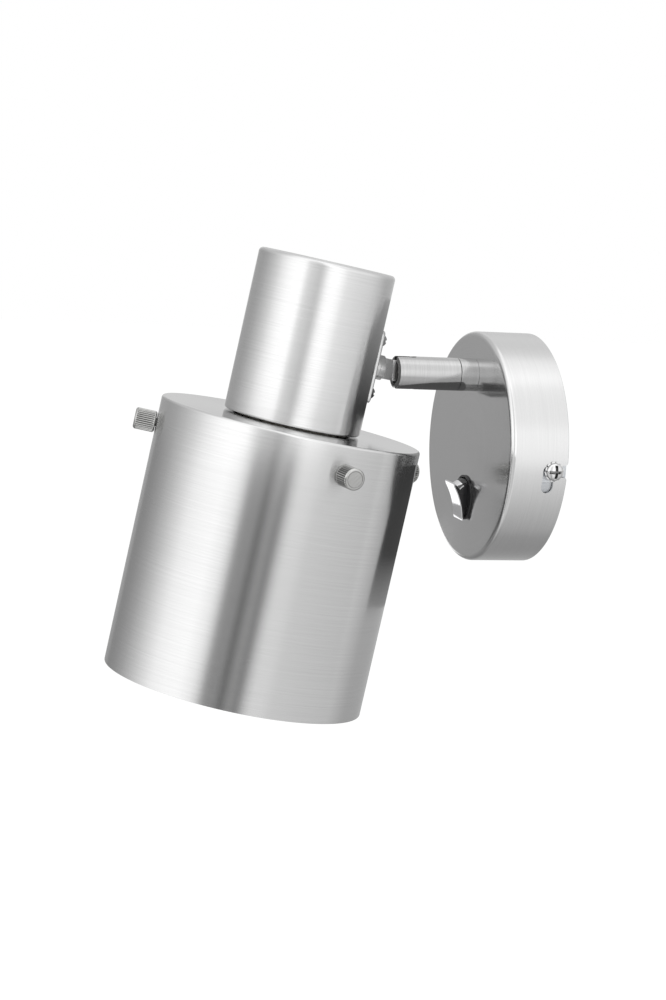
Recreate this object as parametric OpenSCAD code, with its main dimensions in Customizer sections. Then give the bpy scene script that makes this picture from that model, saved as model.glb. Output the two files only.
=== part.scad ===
// Tube wall light: a round canopy on the wall, a turning arm with a friction knuckle, a small closed
// tube that holds the lampholder, and a larger open cylinder shade on three thumbscrews.
// The wall is the plane Y = 0, the lamp stands out towards -Y and +Z is up.

/* [Canopy] */
// Diameter of the canopy
canopy_d = 100; // [96:1:110]
// How far its face stands from the wall
canopy_depth = 26; // [25:0.5:32]
// Sheet thickness of the canopy
canopy_wall = 1; // [0.8:0.1:1.2]
// Radius of its drawn front edge
canopy_edge_r = 2.2; // [1.8:0.1:3]
// Diameter of the round switch flange
switch_d = 19.6; // [18.6:0.2:21]
// How far the switch sits below the canopy's centre
switch_drop = 22.8; // [21:0.5:25]
// Tilt of the rocker at rest, top end out
rocker_tilt = 18; // [14:1:18]

/* [Arm] */
// Height of the arm's axis above the canopy's centre
arm_rise = 31.2; // [30:0.2:33]
// Outer diameter of the arm and its collar
arm_d = 14.2; // [14:0.1:15]
// Length of the fixed collar
collar_length = 8; // [7:0.5:10]
// Length of the turning arm
arm_length = 28.5; // [27:0.5:40]
// Distance of the knuckle's pivot from the arm's end
pivot_inset = 4.2; // [4:0.1:4.6]

/* [Head] */
// Outer diameter of the lampholder tube
tube_d = 59; // [58:1:62]
// Height of the tube's top above the pivot
tube_rise = 39.4; // [38:0.2:46]
// Distance of the tube's lower edge below the pivot
tube_drop = 29.7; // [29:0.1:30]
// Sheet thickness of the tube
tube_wall = 0.8; // [0.6:0.1:1]
// Distance from the tube's back to the pivot
neck_length = 15.2; // [15:0.1:17]
// Tilt of the head at rest, top towards the wall
rest_tilt = 9.3; // [5:0.1:12]

/* [Shade] */
// Outer diameter of the shade
shade_d = 112.5; // [108:0.5:120]
// Length of the shade
shade_length = 116.5; // [100:0.5:125]
// Sheet thickness of the shade
shade_wall = 0.9; // [0.7:0.1:1.1]
// Gap between the tube's lower edge and the shade's top
shade_gap = 1; // [0.8:0.1:1.2]
// Distance of the thumbscrews below the shade's top
thumb_drop = 12.2; // [11:0.2:14]
// Diameter of a thumbscrew's head
thumb_head_d = 9.2; // [8:0.2:10]
// Length of a thumbscrew's head
thumb_head_l = 9.2; // [8:0.2:10]

/* [Lampholder] */
// Inner diameter of the screw shell for an E27 lamp cap
shell_d = 26.6; // [26.5:0.05:26.8]
// Length of that bore
shell_length = 22; // [20:0.5:22]
// Outer diameter of the lampholder's skirt
skirt_d = 39; // [38:0.5:39.5]

/* [Wall bracket] */
// Distance between the two slots for wall screws
wall_screw_span = 60; // [58:1:62]
// Width of a wall screw slot
wall_slot_w = 4.5; // [4:0.1:5]
// End-to-end length of a wall screw slot
wall_slot_l = 10; // [9:0.5:11]

/* [Hidden] */

// Roundness
fn_large = 96;
fn_small = 32;
arc_steps = 6;
eps = 0.5;          // how far a cut runs past the surface it opens

// Clearances
running_gap = 0.05; // radial, between turning pieces
thread_gap = 0.03;  // radial, between a screw and what holds it
face_gap = 0.15;    // between faces that turn on each other

// Canopy and its bayonet slots
canopy_r = canopy_d / 2;
bayonet_w = 5.2;
bayonet_drop = 2.9;      // slot mouth below the canopy's centre
bayonet_leg_out = 8.5;   // distance of the slot's cross leg from the wall
bayonet_leg_end = 9.8;   // end of the cross leg below the canopy's centre
side_screw_out = 6.3;
side_screw_r = 2;
side_head_r = 3.8;
side_head_h = 2.4;
side_washer_r = 4.3;
side_washer_t = 0.8;
washer_teeth = 12;
tooth_cut_w = 0.9;
tooth_cut_l = 1.1;
recess_w = 0.9;          // cross recess of the pan-head screws
recess_depth = 1.3;

// Wall bracket
sheet_t = 1.5;
bracket_h = 16;
tab_h = 10;
tab_out = 11;
tab_outer_x = 48.2;
tab_boss_r = 3.6;
tab_boss_t = 1.5;
bracket_y = -bayonet_drop;
cable_hole_r = 7;
grommet_r = 9;
grommet_bore_r = 4;
grommet_lip_t = 1.6;
earth_x = 18;
earth_screw_r = 2;
earth_head_r = 3.5;
earth_head_h = 2.6;
earth_washer_r = 4.4;
earth_washer_t = 0.8;
terminal_x = -17.4;
terminal_w = 12.4;
terminal_h = 26;
terminal_out = 12;
terminal_pitch = 8.2;
terminal_count = 3;
wire_hole_r = 1.7;
wire_hole_out = 4.2;
clamp_hole_r = 1.9;
clamp_screw_r = 1.8;
clamp_screw_l = 5;
clamp_offset = 3.3;
slot_w = 0.7;
slot_depth = 0.8;

// Switch
switch_r = switch_d / 2;
switch_flange_t = 0.8;
switch_body_r = 9.3;
switch_body_l = 16;
switch_pocket_r = 8.9;
rocker_w = 10.2;
rocker_side_gap = 0.2;
rocker_arc_r = 8.7;
rocker_arc_top = 30;
rocker_arc_low = -62;
rocker_free_angle = 32;  // above this the rocker passes over the flange
rocker_ridge = [8.1, 5.5];
rocker_lip = [6.6, 5.3];
rocker_valley_r = 30;
hinge_sink = 1;          // hinge axis behind the canopy's face
hinge_r = 1.2;
hinge_l = 1.4;
hinge_out = canopy_depth - hinge_sink;
pocket_depth = 11;
blade_w = 4.8;
blade_t = 0.8;
blade_l = 7;
blade_spread = 7;

// Arm and collar
arm_r = arm_d / 2;
arm_in_r = 4.7;
arm_edge = 0.5;
spigot_r = 4.2;
spigot_bore_r = 2.7;
collar_thread_r = 6;
collar_thread_l = 7.8;
collar_end_out = canopy_depth - collar_thread_l;
arm_start_out = canopy_depth + collar_length + face_gap;
arm_end_out = arm_start_out - face_gap + arm_length;
pivot_out = arm_end_out - pivot_inset;
clip_t = 0.8;
clip_gap = 0.2;
clip_land = 1;
spigot_end_out = collar_end_out - clip_gap - clip_t - clip_land;
clip_slack = 0.05;
clip_in_r = 3.6;
clip_r = 6.4;
clip_mouth = 4;
arm_throat_l = 4;        // full thickness behind the hollow
lock_washer_r = 9;
lock_washer_t = 1;
collar_nut_flat = 17;
collar_nut_t = 3;
slot_gap_w = 3.2;
slot_gap_l = 7.5;
relief_r = 1.3;
knuckle_pin_r = 1.5;
knuckle_head_r = 2.6;
knuckle_head_t = 1.4;
knuckle_head_sink = 0.3;
knuckle_pin_blind = 0.8; // metal left on the side that shows no screw
bush_r = 2.6;
bush_end_x = 3.75;

// Knuckle, seen from the tube's axis towards the wall
tube_r = tube_d / 2;
tube_in_r = tube_r - tube_wall;
neck_reach = tube_r + neck_length;
plate_w = 15;
plate_h = 31.4;
plate_t = 1.2;
plate_corner_r = 2;
plate_face = tube_r + plate_t;
plate_screw_z = 11.5;
plate_screw_r = 1.5;
plate_head_r = 2.7;
plate_head_h = 2.1;
plate_screw_l = 7;
disc_r = 5.4;
disc_t = 1.4;
flange_r = 5.3;
flange_t = 2.2;
flange_face = plate_face + disc_t + flange_t;
tongue_t = 3;
tongue_r = 4.4;
stem_r = 4;
stem_past_nut = 0.5;
wire_bore_r = 0.95;
wire_bore_x = 2.7;
leg_w = 14;
leg_face = sqrt(tube_in_r * tube_in_r - leg_w * leg_w / 4);
stud_nut_flat = 13;
stud_nut_t = 3.2;
stem_end = leg_face - sheet_t - stud_nut_t - stem_past_nut;

// Tube and what hangs in it
tube_edge_r = 1.8;
lip_r = 2.6;
lip_in_r = 25.6;
shelf_z = 25.5;
leg_low_z = -15.5;
shelf_end_r = 9;
nipple_r = 5;
nipple_bore_r = 3.2;
nipple_top_z = 33;
nipple_low_z = 15;
nipple_nut_flat = 14;
nipple_nut_t = 2.5;
skirt_r = skirt_d / 2;
cap_top_z = 22.6;
cap_low_z = -4;
cap_boss_r = 8;
cap_boss_l = 10;
cap_wall = 2;
cap_neck_z = 14;
cap_side_z = 8;
cap_inner_z = 11;
core_gap = 0.2;
core_r = skirt_r - cap_wall - core_gap;
core_top_z = -3;
core_low_z = -14;
skirt_low_z = -44;
skirt_wall = 2.2;
skirt_shelf_t = 2;
shell_r = shell_d / 2;
shell_t = 0.5;
shell_top_z = core_low_z;
shell_flange_in_r = 8;
shell_corner = 0.5;      // slope between the shell's flange and its bore
shell_bore_z = shell_top_z - shell_t - shell_corner;
contact_w = 5;
contact_l = 12;
contact_t = 0.6;
contact_rivet_r = 1.6;
holder_screw_r = 1.6;
holder_screw_head_r = 2.8;
holder_screw_x = 9.5;
holder_screw_l = 4;
holder_screw_head_h = 1.6;

// Shade and its carrier
shade_r = shade_d / 2;
shade_in_r = shade_r - shade_wall;
shade_edge_r = 1.1;
shade_top_z = -tube_drop - shade_gap;
shade_low_z = shade_top_z - shade_length;
shade_hole_r = 24.8;
thumb_z = shade_top_z - thumb_drop;
ring_r = 24;
ring_t = 3;
upper_ring_t = 1.6;      // stays below the tube's lower edge
carrier_top_z = shade_top_z - shade_wall;
carrier_disc_r = 30;
carrier_arm_w = 12;
carrier_tab_l = 17;
carrier_face = sqrt(shade_in_r * shade_in_r - carrier_arm_w * carrier_arm_w / 4) - face_gap;
thumb_shank_r = 2;
thumb_shank_l = 8.5;
thumb_hole_r = 2.4;
thumb_chamfer = 0.6;
thumb_boss_r = 4;
thumb_boss_t = 1.8;
// Directions of the thumbscrews about the head's axis, from straight out towards the lamp's right
thumb_angles = [-15, 99, 190];

// Leads, as hand-laid routes
lead_r = 0.8;
lead_sides = 8;
lead_steps = 5;
lead_side = [0.2, 0.5, 0.1];  // a direction that no route runs along
lead_offset = 1.2;       // the leads run beside an axis
lead_tuck = 0.8;
lead_straight = 3;
arm_lead_start = spigot_end_out + lead_tuck;
switch_lead_x = 4.8;
switch_lead_start = canopy_depth - switch_body_l - 2;
arm_lead_route = [
    [-lead_offset, arm_rise, arm_lead_start], [-lead_offset, arm_rise, arm_lead_start - lead_straight],
    [-3, 30, 9], [-10, 25, 7], [-21, 17, 7], [-29, 9, 6], [-28, 5.3, 5.7], [-23.8, 5.3, 5.7]];
switch_lead_route = [
    [-switch_lead_x, -switch_drop, switch_lead_start],
    [-switch_lead_x, -switch_drop, switch_lead_start - lead_straight],
    [-9, -21, 3], [-20, -20.5, 3.5], [-28, -17, 5], [-30, -12, 5.7], [-27, -11.1, 5.7], [-23.8, -11.1, 5.7]];
head_lead_route = [
    [wire_bore_x, stem_end, 0], [wire_bore_x, stem_end - lead_tuck - lead_r, 1], [4, 20.8, 8], [9.6, 20, 17],
    [10.6, 16, 26], [9.8, 12, 33], [4, 5, 36.5], [1.3, 0.5, 36], [lead_offset, 0, 29]];

// Points of a circular arc in a profile, from angle a to angle b
function arc_points(x, y, r, a, b) =
    [for (i = [0:arc_steps]) let (t = a + (b - a) * i / arc_steps) [x + r * cos(t), y + r * sin(t)]];

// A smooth curve through the middles of a route's stretches
function mid(a, b) = (a + b) / 2;
function curve_point(a, b, c, t) = (1 - t) * (1 - t) * a + 2 * t * (1 - t) * b + t * t * c;
function smooth_route(p) = concat(
    [p[0]],
    [for (i = [1:len(p) - 2]) for (k = [0:lead_steps])
        curve_point(mid(p[i - 1], p[i]), p[i], mid(p[i], p[i + 1]), k / (lead_steps + 1))],
    [p[len(p) - 1]]);

function unit(v) = v / norm(v);
function heading(p, i) = unit(p[min(i + 1, len(p) - 1)] - p[max(i - 1, 0)]);

// X right, Y up, Z away from the wall
module on_wall() rotate([90, 0, 0]) children();

// The same, centred on the arm's axis
module on_arm() on_wall() translate([0, arm_rise, 0]) children();

// Z along the head's axis, +Y towards the wall, origin level with the pivot
module in_head()
    translate([0, -pivot_out, arm_rise]) rotate([-rest_tilt, 0, 0])
        translate([0, -neck_reach, 0]) children();

// Z from the head's axis towards the wall
module to_back() in_head() rotate([-90, 0, 0]) children();

// Z outwards along a thumbscrew
module at_thumb(angle)
    in_head() translate([0, 0, thumb_z]) rotate([0, 0, angle - 90]) rotate([0, 90, 0]) children();

// A round bar from height a to height b
module bar(r, a, b, fn = fn_small) translate([0, 0, a]) cylinder(r = r, h = b - a, $fn = fn);

// A box that is centred in X and Y, from height a to height b
module block(w, h, a, b) translate([-w / 2, -h / 2, a]) cube([w, h, b - a]);

// A hexagon from height a to height b
module hexagon(flat, a, b) translate([0, 0, a]) cylinder(r = flat / sqrt(3), h = b - a, $fn = 6);

// A plain ring from height a to height b
module ring(r, bore_r, a, b, fn = fn_small) difference() {
    bar(r, a, b, fn);
    bar(bore_r, a - eps, b + eps, fn);
}

// A drawn cup that opens downwards
module cup(r, top, low, wall, edge_r, hole_r = 0)
    rotate_extrude($fn = fn_large) polygon(concat(
        [[r, low]],
        arc_points(r - edge_r, top - edge_r, edge_r, 0, 90),
        [[hole_r, top], [hole_r, top - wall]],
        arc_points(r - edge_r, top - edge_r, edge_r - wall, 90, 0),
        [[r - wall, low]]));

// A domed head with a cross recess, standing on Z = 0
module pan_head(r, h) difference() {
    rotate_extrude($fn = fn_small) polygon(concat(
        [[0, 0], [r, 0]], [for (i = [1:arc_steps]) let (t = 90 * i / arc_steps) [r * cos(t), h * sin(t)]]));
    for (turn = [0, 90]) rotate([0, 0, turn]) block(r, recess_w, h - recess_depth, h + eps);
}

// A round bar with a driver slot in its top
module slotted_screw(r, a, b) difference() {
    bar(r, a, b);
    block(2 * r + eps, slot_w, b - slot_depth, b + eps);
}

// An insulated wire along a route
module lead(route) {
    p = smooth_route(route);
    n = len(p);
    points = [for (i = [0:n - 1]) let (t = heading(p, i), u = unit(cross(t, lead_side)), v = cross(t, u))
        for (k = [0:lead_sides - 1]) let (a = 360 * k / lead_sides)
            p[i] + lead_r * (cos(a) * u + sin(a) * v)];
    walls = [for (i = [0:n - 2]) for (k = [0:lead_sides - 1]) let (m = (k + 1) % lead_sides)
        [i * lead_sides + k, i * lead_sides + m, (i + 1) * lead_sides + m, (i + 1) * lead_sides + k]];
    ends = [[for (k = [lead_sides - 1:-1:0]) k], [for (k = [0:lead_sides - 1]) (n - 1) * lead_sides + k]];
    polyhedron(points, concat(walls, ends));
}

// Steel strap on the wall, with a bent tab at each end for the canopy's side screws
module wall_bracket() color("silver") on_wall() translate([0, bracket_y, 0]) difference() {
    union() {
        block(2 * tab_outer_x, tab_h, 0, sheet_t);
        block(wall_screw_span + 2 * wall_slot_l, bracket_h, 0, sheet_t);
        for (side = [-1, 1]) {
            translate([side * (tab_outer_x - sheet_t / 2), 0, 0]) block(sheet_t, tab_h, 0, tab_out);
            translate([side * (tab_outer_x - sheet_t), 0, side_screw_out]) rotate([0, -90 * side, 0])
                bar(tab_boss_r, 0, tab_boss_t);
        }
    }
    bar(cable_hole_r, -eps, sheet_t + eps);
    translate([earth_x, 0, 0]) bar(earth_screw_r + thread_gap, -eps, sheet_t + eps);
    for (side = [-1, 1]) {
        translate([side * wall_screw_span / 2, 0, 0]) {
            block(wall_slot_l - wall_slot_w, wall_slot_w, -eps, sheet_t + eps);
            for (end = [-1, 1]) translate([end * (wall_slot_l - wall_slot_w) / 2, 0, 0])
                bar(wall_slot_w / 2, -eps, sheet_t + eps);
        }
        translate([0, 0, side_screw_out]) rotate([0, 90 * side, 0])
            bar(side_screw_r + thread_gap, tab_outer_x / 2, tab_outer_x + eps);
    }
}

// Rubber edge guard in the bracket's cable hole
module cable_grommet() color("dimgray") on_wall() translate([0, bracket_y, 0]) difference() {
    union() {
        bar(cable_hole_r - thread_gap, 0, sheet_t);
        bar(grommet_r, sheet_t, sheet_t + grommet_lip_t);
    }
    bar(grommet_bore_r, -eps, sheet_t + grommet_lip_t + eps);
}

// Earth screw and its washer on the bracket
module earth_screw() color("gold") on_wall() translate([earth_x, bracket_y, sheet_t]) {
    bar(earth_screw_r, -sheet_t, earth_washer_t);
    ring(earth_washer_r, earth_screw_r, 0, earth_washer_t);
    translate([0, 0, earth_washer_t]) pan_head(earth_head_r, earth_head_h);
}

// Places of the block's clamp screws
module at_clamps() for (row = [0:terminal_count - 1]) for (side = [-1, 1])
    translate([side * clamp_offset, (row - (terminal_count - 1) / 2) * terminal_pitch, 0]) children();

// Terminal block for the house wires
module terminal_block() color("white") on_wall() translate([terminal_x, bracket_y, sheet_t]) difference() {
    block(terminal_w, terminal_h, 0, terminal_out);
    at_clamps() bar(clamp_hole_r, wire_hole_out, terminal_out + eps);
    for (row = [0:terminal_count - 1])
        translate([-terminal_w / 2 - eps, (row - (terminal_count - 1) / 2) * terminal_pitch, wire_hole_out])
            rotate([0, 90, 0]) bar(wire_hole_r, 0, terminal_w + 2 * eps);
}

// Clamp screws of the terminal block
module terminal_screws() color("gold") on_wall() translate([terminal_x, bracket_y, sheet_t]) {
    top = terminal_out - slot_depth;
    at_clamps() slotted_screw(clamp_screw_r, top - clamp_screw_l, top);
}

// One bayonet slot, cut towards +X
module bayonet_cut() translate([canopy_r / 2, 0, 0]) {
    translate([0, -bayonet_drop, 0]) rotate([0, 90, 0]) {
        translate([-bayonet_leg_out / 2, 0, 0]) block(bayonet_leg_out + eps, bayonet_w, 0, canopy_r);
        translate([-bayonet_leg_out, 0, 0]) bar(bayonet_w / 2, 0, canopy_r);
        translate([-bayonet_leg_out, (bayonet_drop - bayonet_leg_end) / 2, 0])
            block(bayonet_w, bayonet_leg_end - bayonet_drop, 0, canopy_r);
        translate([-bayonet_leg_out, bayonet_drop - bayonet_leg_end, 0]) bar(bayonet_w / 2, 0, canopy_r);
    }
}

// Drawn steel canopy
module canopy() color("lightgray") on_wall() difference() {
    cup(canopy_r, canopy_depth, 0, canopy_wall, canopy_edge_r);
    translate([0, arm_rise, 0]) bar(collar_thread_r + thread_gap, canopy_depth / 2, canopy_depth + eps);
    translate([0, -switch_drop, 0])
        bar(switch_body_r + thread_gap, canopy_depth / 2, canopy_depth + eps, fn_large);
    bayonet_cut();
    mirror([1, 0, 0]) bayonet_cut();
}

// Both side screws stand along X, seen from outside
module at_side_screws() on_wall() for (side = [-1, 1])
    translate([side * canopy_r, bracket_y, side_screw_out]) rotate([0, 90 * side, 0]) children();

module canopy_screws() color("silver") at_side_screws() {
    bar(side_screw_r, tab_outer_x - sheet_t - tab_boss_t - canopy_r, side_washer_t);
    translate([0, 0, side_washer_t]) pan_head(side_head_r, side_head_h);
}

module canopy_washers() color("gray") at_side_screws() difference() {
    ring(side_washer_r, side_screw_r, 0, side_washer_t);
    for (i = [0:washer_teeth - 1]) rotate([0, 0, 360 * i / washer_teeth])
        translate([side_washer_r, 0, 0]) block(2 * tooth_cut_l, tooth_cut_w, -eps, side_washer_t + eps);
}

module at_switch() on_wall() translate([0, -switch_drop, 0]) children();

// The slot that the rocker moves in
module rocker_pocket(gap) {
    low = canopy_depth - pocket_depth;
    top = canopy_depth + switch_flange_t + eps;
    intersection() {
        bar(switch_pocket_r, low, top, fn_large);
        block(rocker_w + 2 * gap, 2 * switch_r, low, top);
    }
}

// Round switch body with its thin flange
module switch_housing() color("black") at_switch() difference() {
    union() {
        bar(switch_body_r, canopy_depth - switch_body_l, canopy_depth, fn_large);
        bar(switch_r, canopy_depth, canopy_depth + switch_flange_t, fn_large);
    }
    rocker_pocket(rocker_side_gap);
    translate([-rocker_w / 2 - hinge_l - rocker_side_gap, 0, hinge_out]) rotate([0, 90, 0])
        bar(hinge_r + running_gap, 0, rocker_w + 2 * (hinge_l + rocker_side_gap));
}

// Two terminal blades behind the switch
module switch_contacts() color("gold") at_switch() for (side = [-1, 1])
    translate([side * blade_spread / 2, 0, 0])
        block(blade_t, blade_w, canopy_depth - switch_body_l - blade_l, canopy_depth - switch_body_l);

// Half of the rocker's profile about its hinge, from the ridge round to the lowest point
function rocker_side() =
    concat([rocker_ridge], arc_points(0, 0, rocker_arc_r, rocker_arc_top, rocker_arc_low));

function mirrored(p) = [for (i = [len(p) - 1:-1:0]) [-p[i][0], p[i][1]]];

// Chrome rocker with a hollow face and raised ends
module switch_rocker() color("gainsboro")
    at_switch() translate([0, 0, hinge_out]) rotate([rocker_tilt, 0, 0]) {
    valley_z = rocker_lip[1] + sqrt(rocker_valley_r * rocker_valley_r - rocker_lip[0] * rocker_lip[0]);
    free_z = rocker_arc_r * sin(rocker_free_angle);
    rotate([90, 0, 90]) difference() {
        translate([0, 0, -rocker_w / 2]) linear_extrude(rocker_w)
            polygon(concat(rocker_side(), mirrored(rocker_side())));
        translate([0, valley_z, 0]) bar(rocker_valley_r, -rocker_w, rocker_w, fn_large);
        difference() {
            translate([0, free_z - switch_body_l, 0]) rotate([-90, 0, 0])
                block(2 * switch_d, 2 * switch_d, 0, switch_body_l);
            sphere(r = rocker_arc_r, $fn = fn_large);
        }
    }
    rotate([0, 90, 0]) bar(hinge_r, -rocker_w / 2 - hinge_l, rocker_w / 2 + hinge_l);
}

// Fixed collar, screwed through the canopy's face
module arm_collar() color("lightgray") on_arm() difference() {
    union() {
        bar(arm_r, canopy_depth, canopy_depth + collar_length, fn_large);
        bar(collar_thread_r, collar_end_out, canopy_depth, fn_large);
    }
    bar(spigot_r + running_gap, collar_end_out - eps, canopy_depth + collar_length + eps, fn_large);
}

module collar_washer() color("gray") on_arm() {
    top = canopy_depth - canopy_wall;
    ring(lock_washer_r, collar_thread_r + thread_gap, top - lock_washer_t, top);
}

module collar_nut() color("gold") on_arm() {
    top = canopy_depth - canopy_wall - lock_washer_t;
    difference() {
        hexagon(collar_nut_flat, top - collar_nut_t, top);
        bar(collar_thread_r + thread_gap, top - collar_nut_t - eps, top + eps, fn_large);
    }
}

// Turning arm: spigot in the collar, hollow slotted end for the knuckle
module arm_tube() color("lightgray") on_arm() difference() {
    union() {
        bar(arm_r, arm_start_out, arm_end_out - arm_edge, fn_large);
        translate([0, 0, arm_end_out - arm_edge])
            cylinder(r1 = arm_r, r2 = arm_r - arm_edge, h = arm_edge, $fn = fn_large);
        bar(spigot_r, spigot_end_out, arm_start_out, fn_large);
    }
    bar(spigot_bore_r, spigot_end_out - eps, arm_end_out, fn_small);
    bar(arm_in_r, arm_start_out + arm_throat_l, arm_end_out + eps, fn_large);
    translate([0, 0, spigot_end_out + clip_land])
        ring(spigot_r + eps, clip_in_r - clip_slack, -clip_slack, clip_t + clip_slack);
    block(slot_gap_w, 2 * arm_d, arm_end_out - slot_gap_l, arm_end_out + eps);
    translate([0, 0, arm_end_out - slot_gap_l]) rotate([90, 0, 0]) bar(relief_r, -arm_d, arm_d);
    translate([0, 0, pivot_out]) rotate([0, 90, 0]) {
        bar(knuckle_pin_r + thread_gap, -arm_r - eps, arm_r - knuckle_pin_blind);
        bar(knuckle_head_r + thread_gap, -arm_r - eps, -arm_r + knuckle_head_t + knuckle_head_sink);
    }
}

// Open spring clip in the spigot's groove
module arm_clip() color("dimgray") on_arm() difference() {
    ring(clip_r, clip_in_r, spigot_end_out + clip_land, spigot_end_out + clip_land + clip_t);
    translate([0, -clip_r, 0]) block(clip_mouth, 2 * clip_r, spigot_end_out, collar_end_out);
}

// Pivot screw: its head sits in the cheek that the front view hides
module knuckle_screw() color("silver") on_arm() translate([0, 0, pivot_out]) rotate([0, -90, 0]) {
    slotted_screw(knuckle_head_r, arm_r - knuckle_head_t - knuckle_head_sink, arm_r - knuckle_head_sink);
    bar(knuckle_pin_r, -arm_r + knuckle_pin_blind, arm_r - knuckle_head_t - knuckle_head_sink);
}

// Friction bushes between the tongue and the arm's inside
module knuckle_bushes() color("white")
    on_arm() translate([0, 0, pivot_out]) rotate([0, 90, 0]) for (side = [0, 1])
        mirror([0, 0, side]) ring(bush_r, knuckle_pin_r + thread_gap, tongue_t / 2 + running_gap, bush_end_x);

// Tongue, flange and threaded stem in one piece
module knuckle_stud() color("gainsboro") to_back() difference() {
    union() {
        bar(stem_r, stem_end, flange_face);
        bar(flange_r, plate_face + disc_t, flange_face);
        block(tongue_t, 2 * tongue_r, flange_face, neck_reach);
        translate([0, 0, neck_reach]) rotate([0, 90, 0]) bar(tongue_r, -tongue_t / 2, tongue_t / 2);
    }
    translate([0, 0, neck_reach]) rotate([0, 90, 0]) bar(knuckle_pin_r + running_gap, -tongue_t, tongue_t);
    for (side = [-1, 1]) translate([side * wire_bore_x, 0, 0])
        bar(wire_bore_r, stem_end - eps, flange_face + eps);
}

module knuckle_washer() color("lightgray")
    to_back() ring(disc_r, stem_r + thread_gap, plate_face, plate_face + disc_t);

// Flat plate along the tube's back
module mounting_plate() color("lightgray") to_back() difference() {
    union() {
        block(plate_w - 2 * plate_corner_r, plate_h, tube_r, plate_face);
        block(plate_w, plate_h - 2 * plate_corner_r, tube_r, plate_face);
        for (x = [-1, 1]) for (y = [-1, 1])
            translate([x * (plate_w / 2 - plate_corner_r), y * (plate_h / 2 - plate_corner_r), 0])
                bar(plate_corner_r, tube_r, plate_face);
    }
    bar(stem_r + thread_gap, tube_r - eps, plate_face + eps);
    at_plate_screws() bar(plate_screw_r + thread_gap, tube_r - eps, plate_face + eps);
}

module at_plate_screws() for (side = [-1, 1]) translate([0, side * plate_screw_z, 0]) children();

module plate_screws() color("silver") to_back() at_plate_screws() {
    bar(plate_screw_r, plate_face - plate_screw_l, plate_face);
    translate([0, 0, plate_face]) pan_head(plate_head_r, plate_head_h);
}

module stud_nut() color("gold") to_back() difference() {
    hexagon(stud_nut_flat, leg_face - sheet_t - stud_nut_t, leg_face - sheet_t);
    bar(stem_r + thread_gap, leg_face - sheet_t - stud_nut_t - eps, leg_face);
}

// Small tube: closed top, lower edge turned in
module tube_housing() color("lightgray") difference() {
    in_head() rotate_extrude($fn = fn_large) polygon(concat(
        [[lip_in_r, -tube_drop]],
        arc_points(tube_r - lip_r, lip_r - tube_drop, lip_r, -90, 0),
        arc_points(tube_r - tube_edge_r, tube_rise - tube_edge_r, tube_edge_r, 0, 90),
        [[0, tube_rise], [0, tube_rise - tube_wall]],
        arc_points(tube_r - tube_edge_r, tube_rise - tube_edge_r, tube_edge_r - tube_wall, 90, 0),
        arc_points(tube_r - lip_r, lip_r - tube_drop, lip_r - tube_wall, 0, -90),
        [[lip_in_r, tube_wall - tube_drop]]));
    to_back() {
        bar(stem_r + thread_gap, leg_face, tube_r + eps);
        at_plate_screws() bar(plate_screw_r + thread_gap, leg_face, tube_r + eps);
    }
}

// Inner angle: its leg takes the knuckle and plate screws, its shelf carries the lampholder
module holder_bracket() color("silver") difference() {
    union() {
        in_head() {
            translate([-leg_w / 2, leg_face - sheet_t, leg_low_z])
                cube([leg_w, sheet_t, shelf_z + sheet_t - leg_low_z]);
            translate([-leg_w / 2, 0, shelf_z]) cube([leg_w, leg_face, sheet_t]);
            bar(shelf_end_r, shelf_z, shelf_z + sheet_t);
        }
    }
    in_head() bar(nipple_r + thread_gap, shelf_z - eps, shelf_z + sheet_t + eps);
    to_back() {
        bar(stem_r + thread_gap, leg_face - sheet_t - eps, leg_face + eps);
        at_plate_screws() bar(plate_screw_r + thread_gap, leg_face - sheet_t - eps, leg_face + eps);
    }
}

module holder_nipple() color("gold") in_head() ring(nipple_r, nipple_bore_r, nipple_low_z, nipple_top_z);

module nipple_nuts() color("silver")
    in_head() for (z = [shelf_z - nipple_nut_t, shelf_z + sheet_t]) difference() {
    hexagon(nipple_nut_flat, z, z + nipple_nut_t);
    bar(nipple_r + thread_gap, z - eps, z + nipple_nut_t + eps);
}

// Upper half of the lampholder, screwed on the nipple
module holder_cap() color("ivory") in_head() rotate_extrude($fn = fn_large) polygon([
    [nipple_r + thread_gap, cap_top_z], [cap_boss_r, cap_top_z], [cap_boss_r + cap_wall, cap_neck_z],
    [skirt_r, cap_side_z], [skirt_r, cap_low_z], [skirt_r - cap_wall, cap_low_z],
    [skirt_r - cap_wall, cap_side_z - cap_wall], [cap_boss_r, cap_inner_z],
    [cap_boss_r, cap_top_z - cap_boss_l], [nipple_r + thread_gap, cap_top_z - cap_boss_l]]);

// Ceramic insert that carries the contacts
module holder_core() color("white") in_head() difference() {
    bar(core_r, core_low_z, core_top_z, fn_large);
    bar(contact_rivet_r + thread_gap, core_low_z - eps, core_top_z + eps);
    for (side = [-1, 1]) translate([side * holder_screw_x, 0, 0])
        bar(holder_screw_r + thread_gap, core_top_z - holder_screw_l - thread_gap, core_top_z + eps);
}

// Lower half: the skirt round the screw shell, threaded outside for the ring nuts
module holder_skirt() color("ivory") in_head() rotate_extrude($fn = fn_large) polygon([
    [skirt_r, cap_low_z], [skirt_r, skirt_low_z], [skirt_r - skirt_wall, skirt_low_z],
    [skirt_r - skirt_wall, core_low_z - skirt_shelf_t],
    [shell_r + shell_t + core_gap, core_low_z - skirt_shelf_t], [shell_r + shell_t + core_gap, core_low_z],
    [core_r + core_gap, core_low_z], [core_r + core_gap, cap_low_z]]);

// Brass screw shell
module screw_shell() color("gold") in_head() rotate_extrude($fn = fn_large) polygon([
    [shell_flange_in_r, shell_top_z], [shell_r + shell_t, shell_top_z],
    [shell_r + shell_t, shell_bore_z - shell_length], [shell_r, shell_bore_z - shell_length],
    [shell_r, shell_bore_z], [shell_r - shell_corner, shell_top_z - shell_t],
    [shell_flange_in_r, shell_top_z - shell_t]]);

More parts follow.
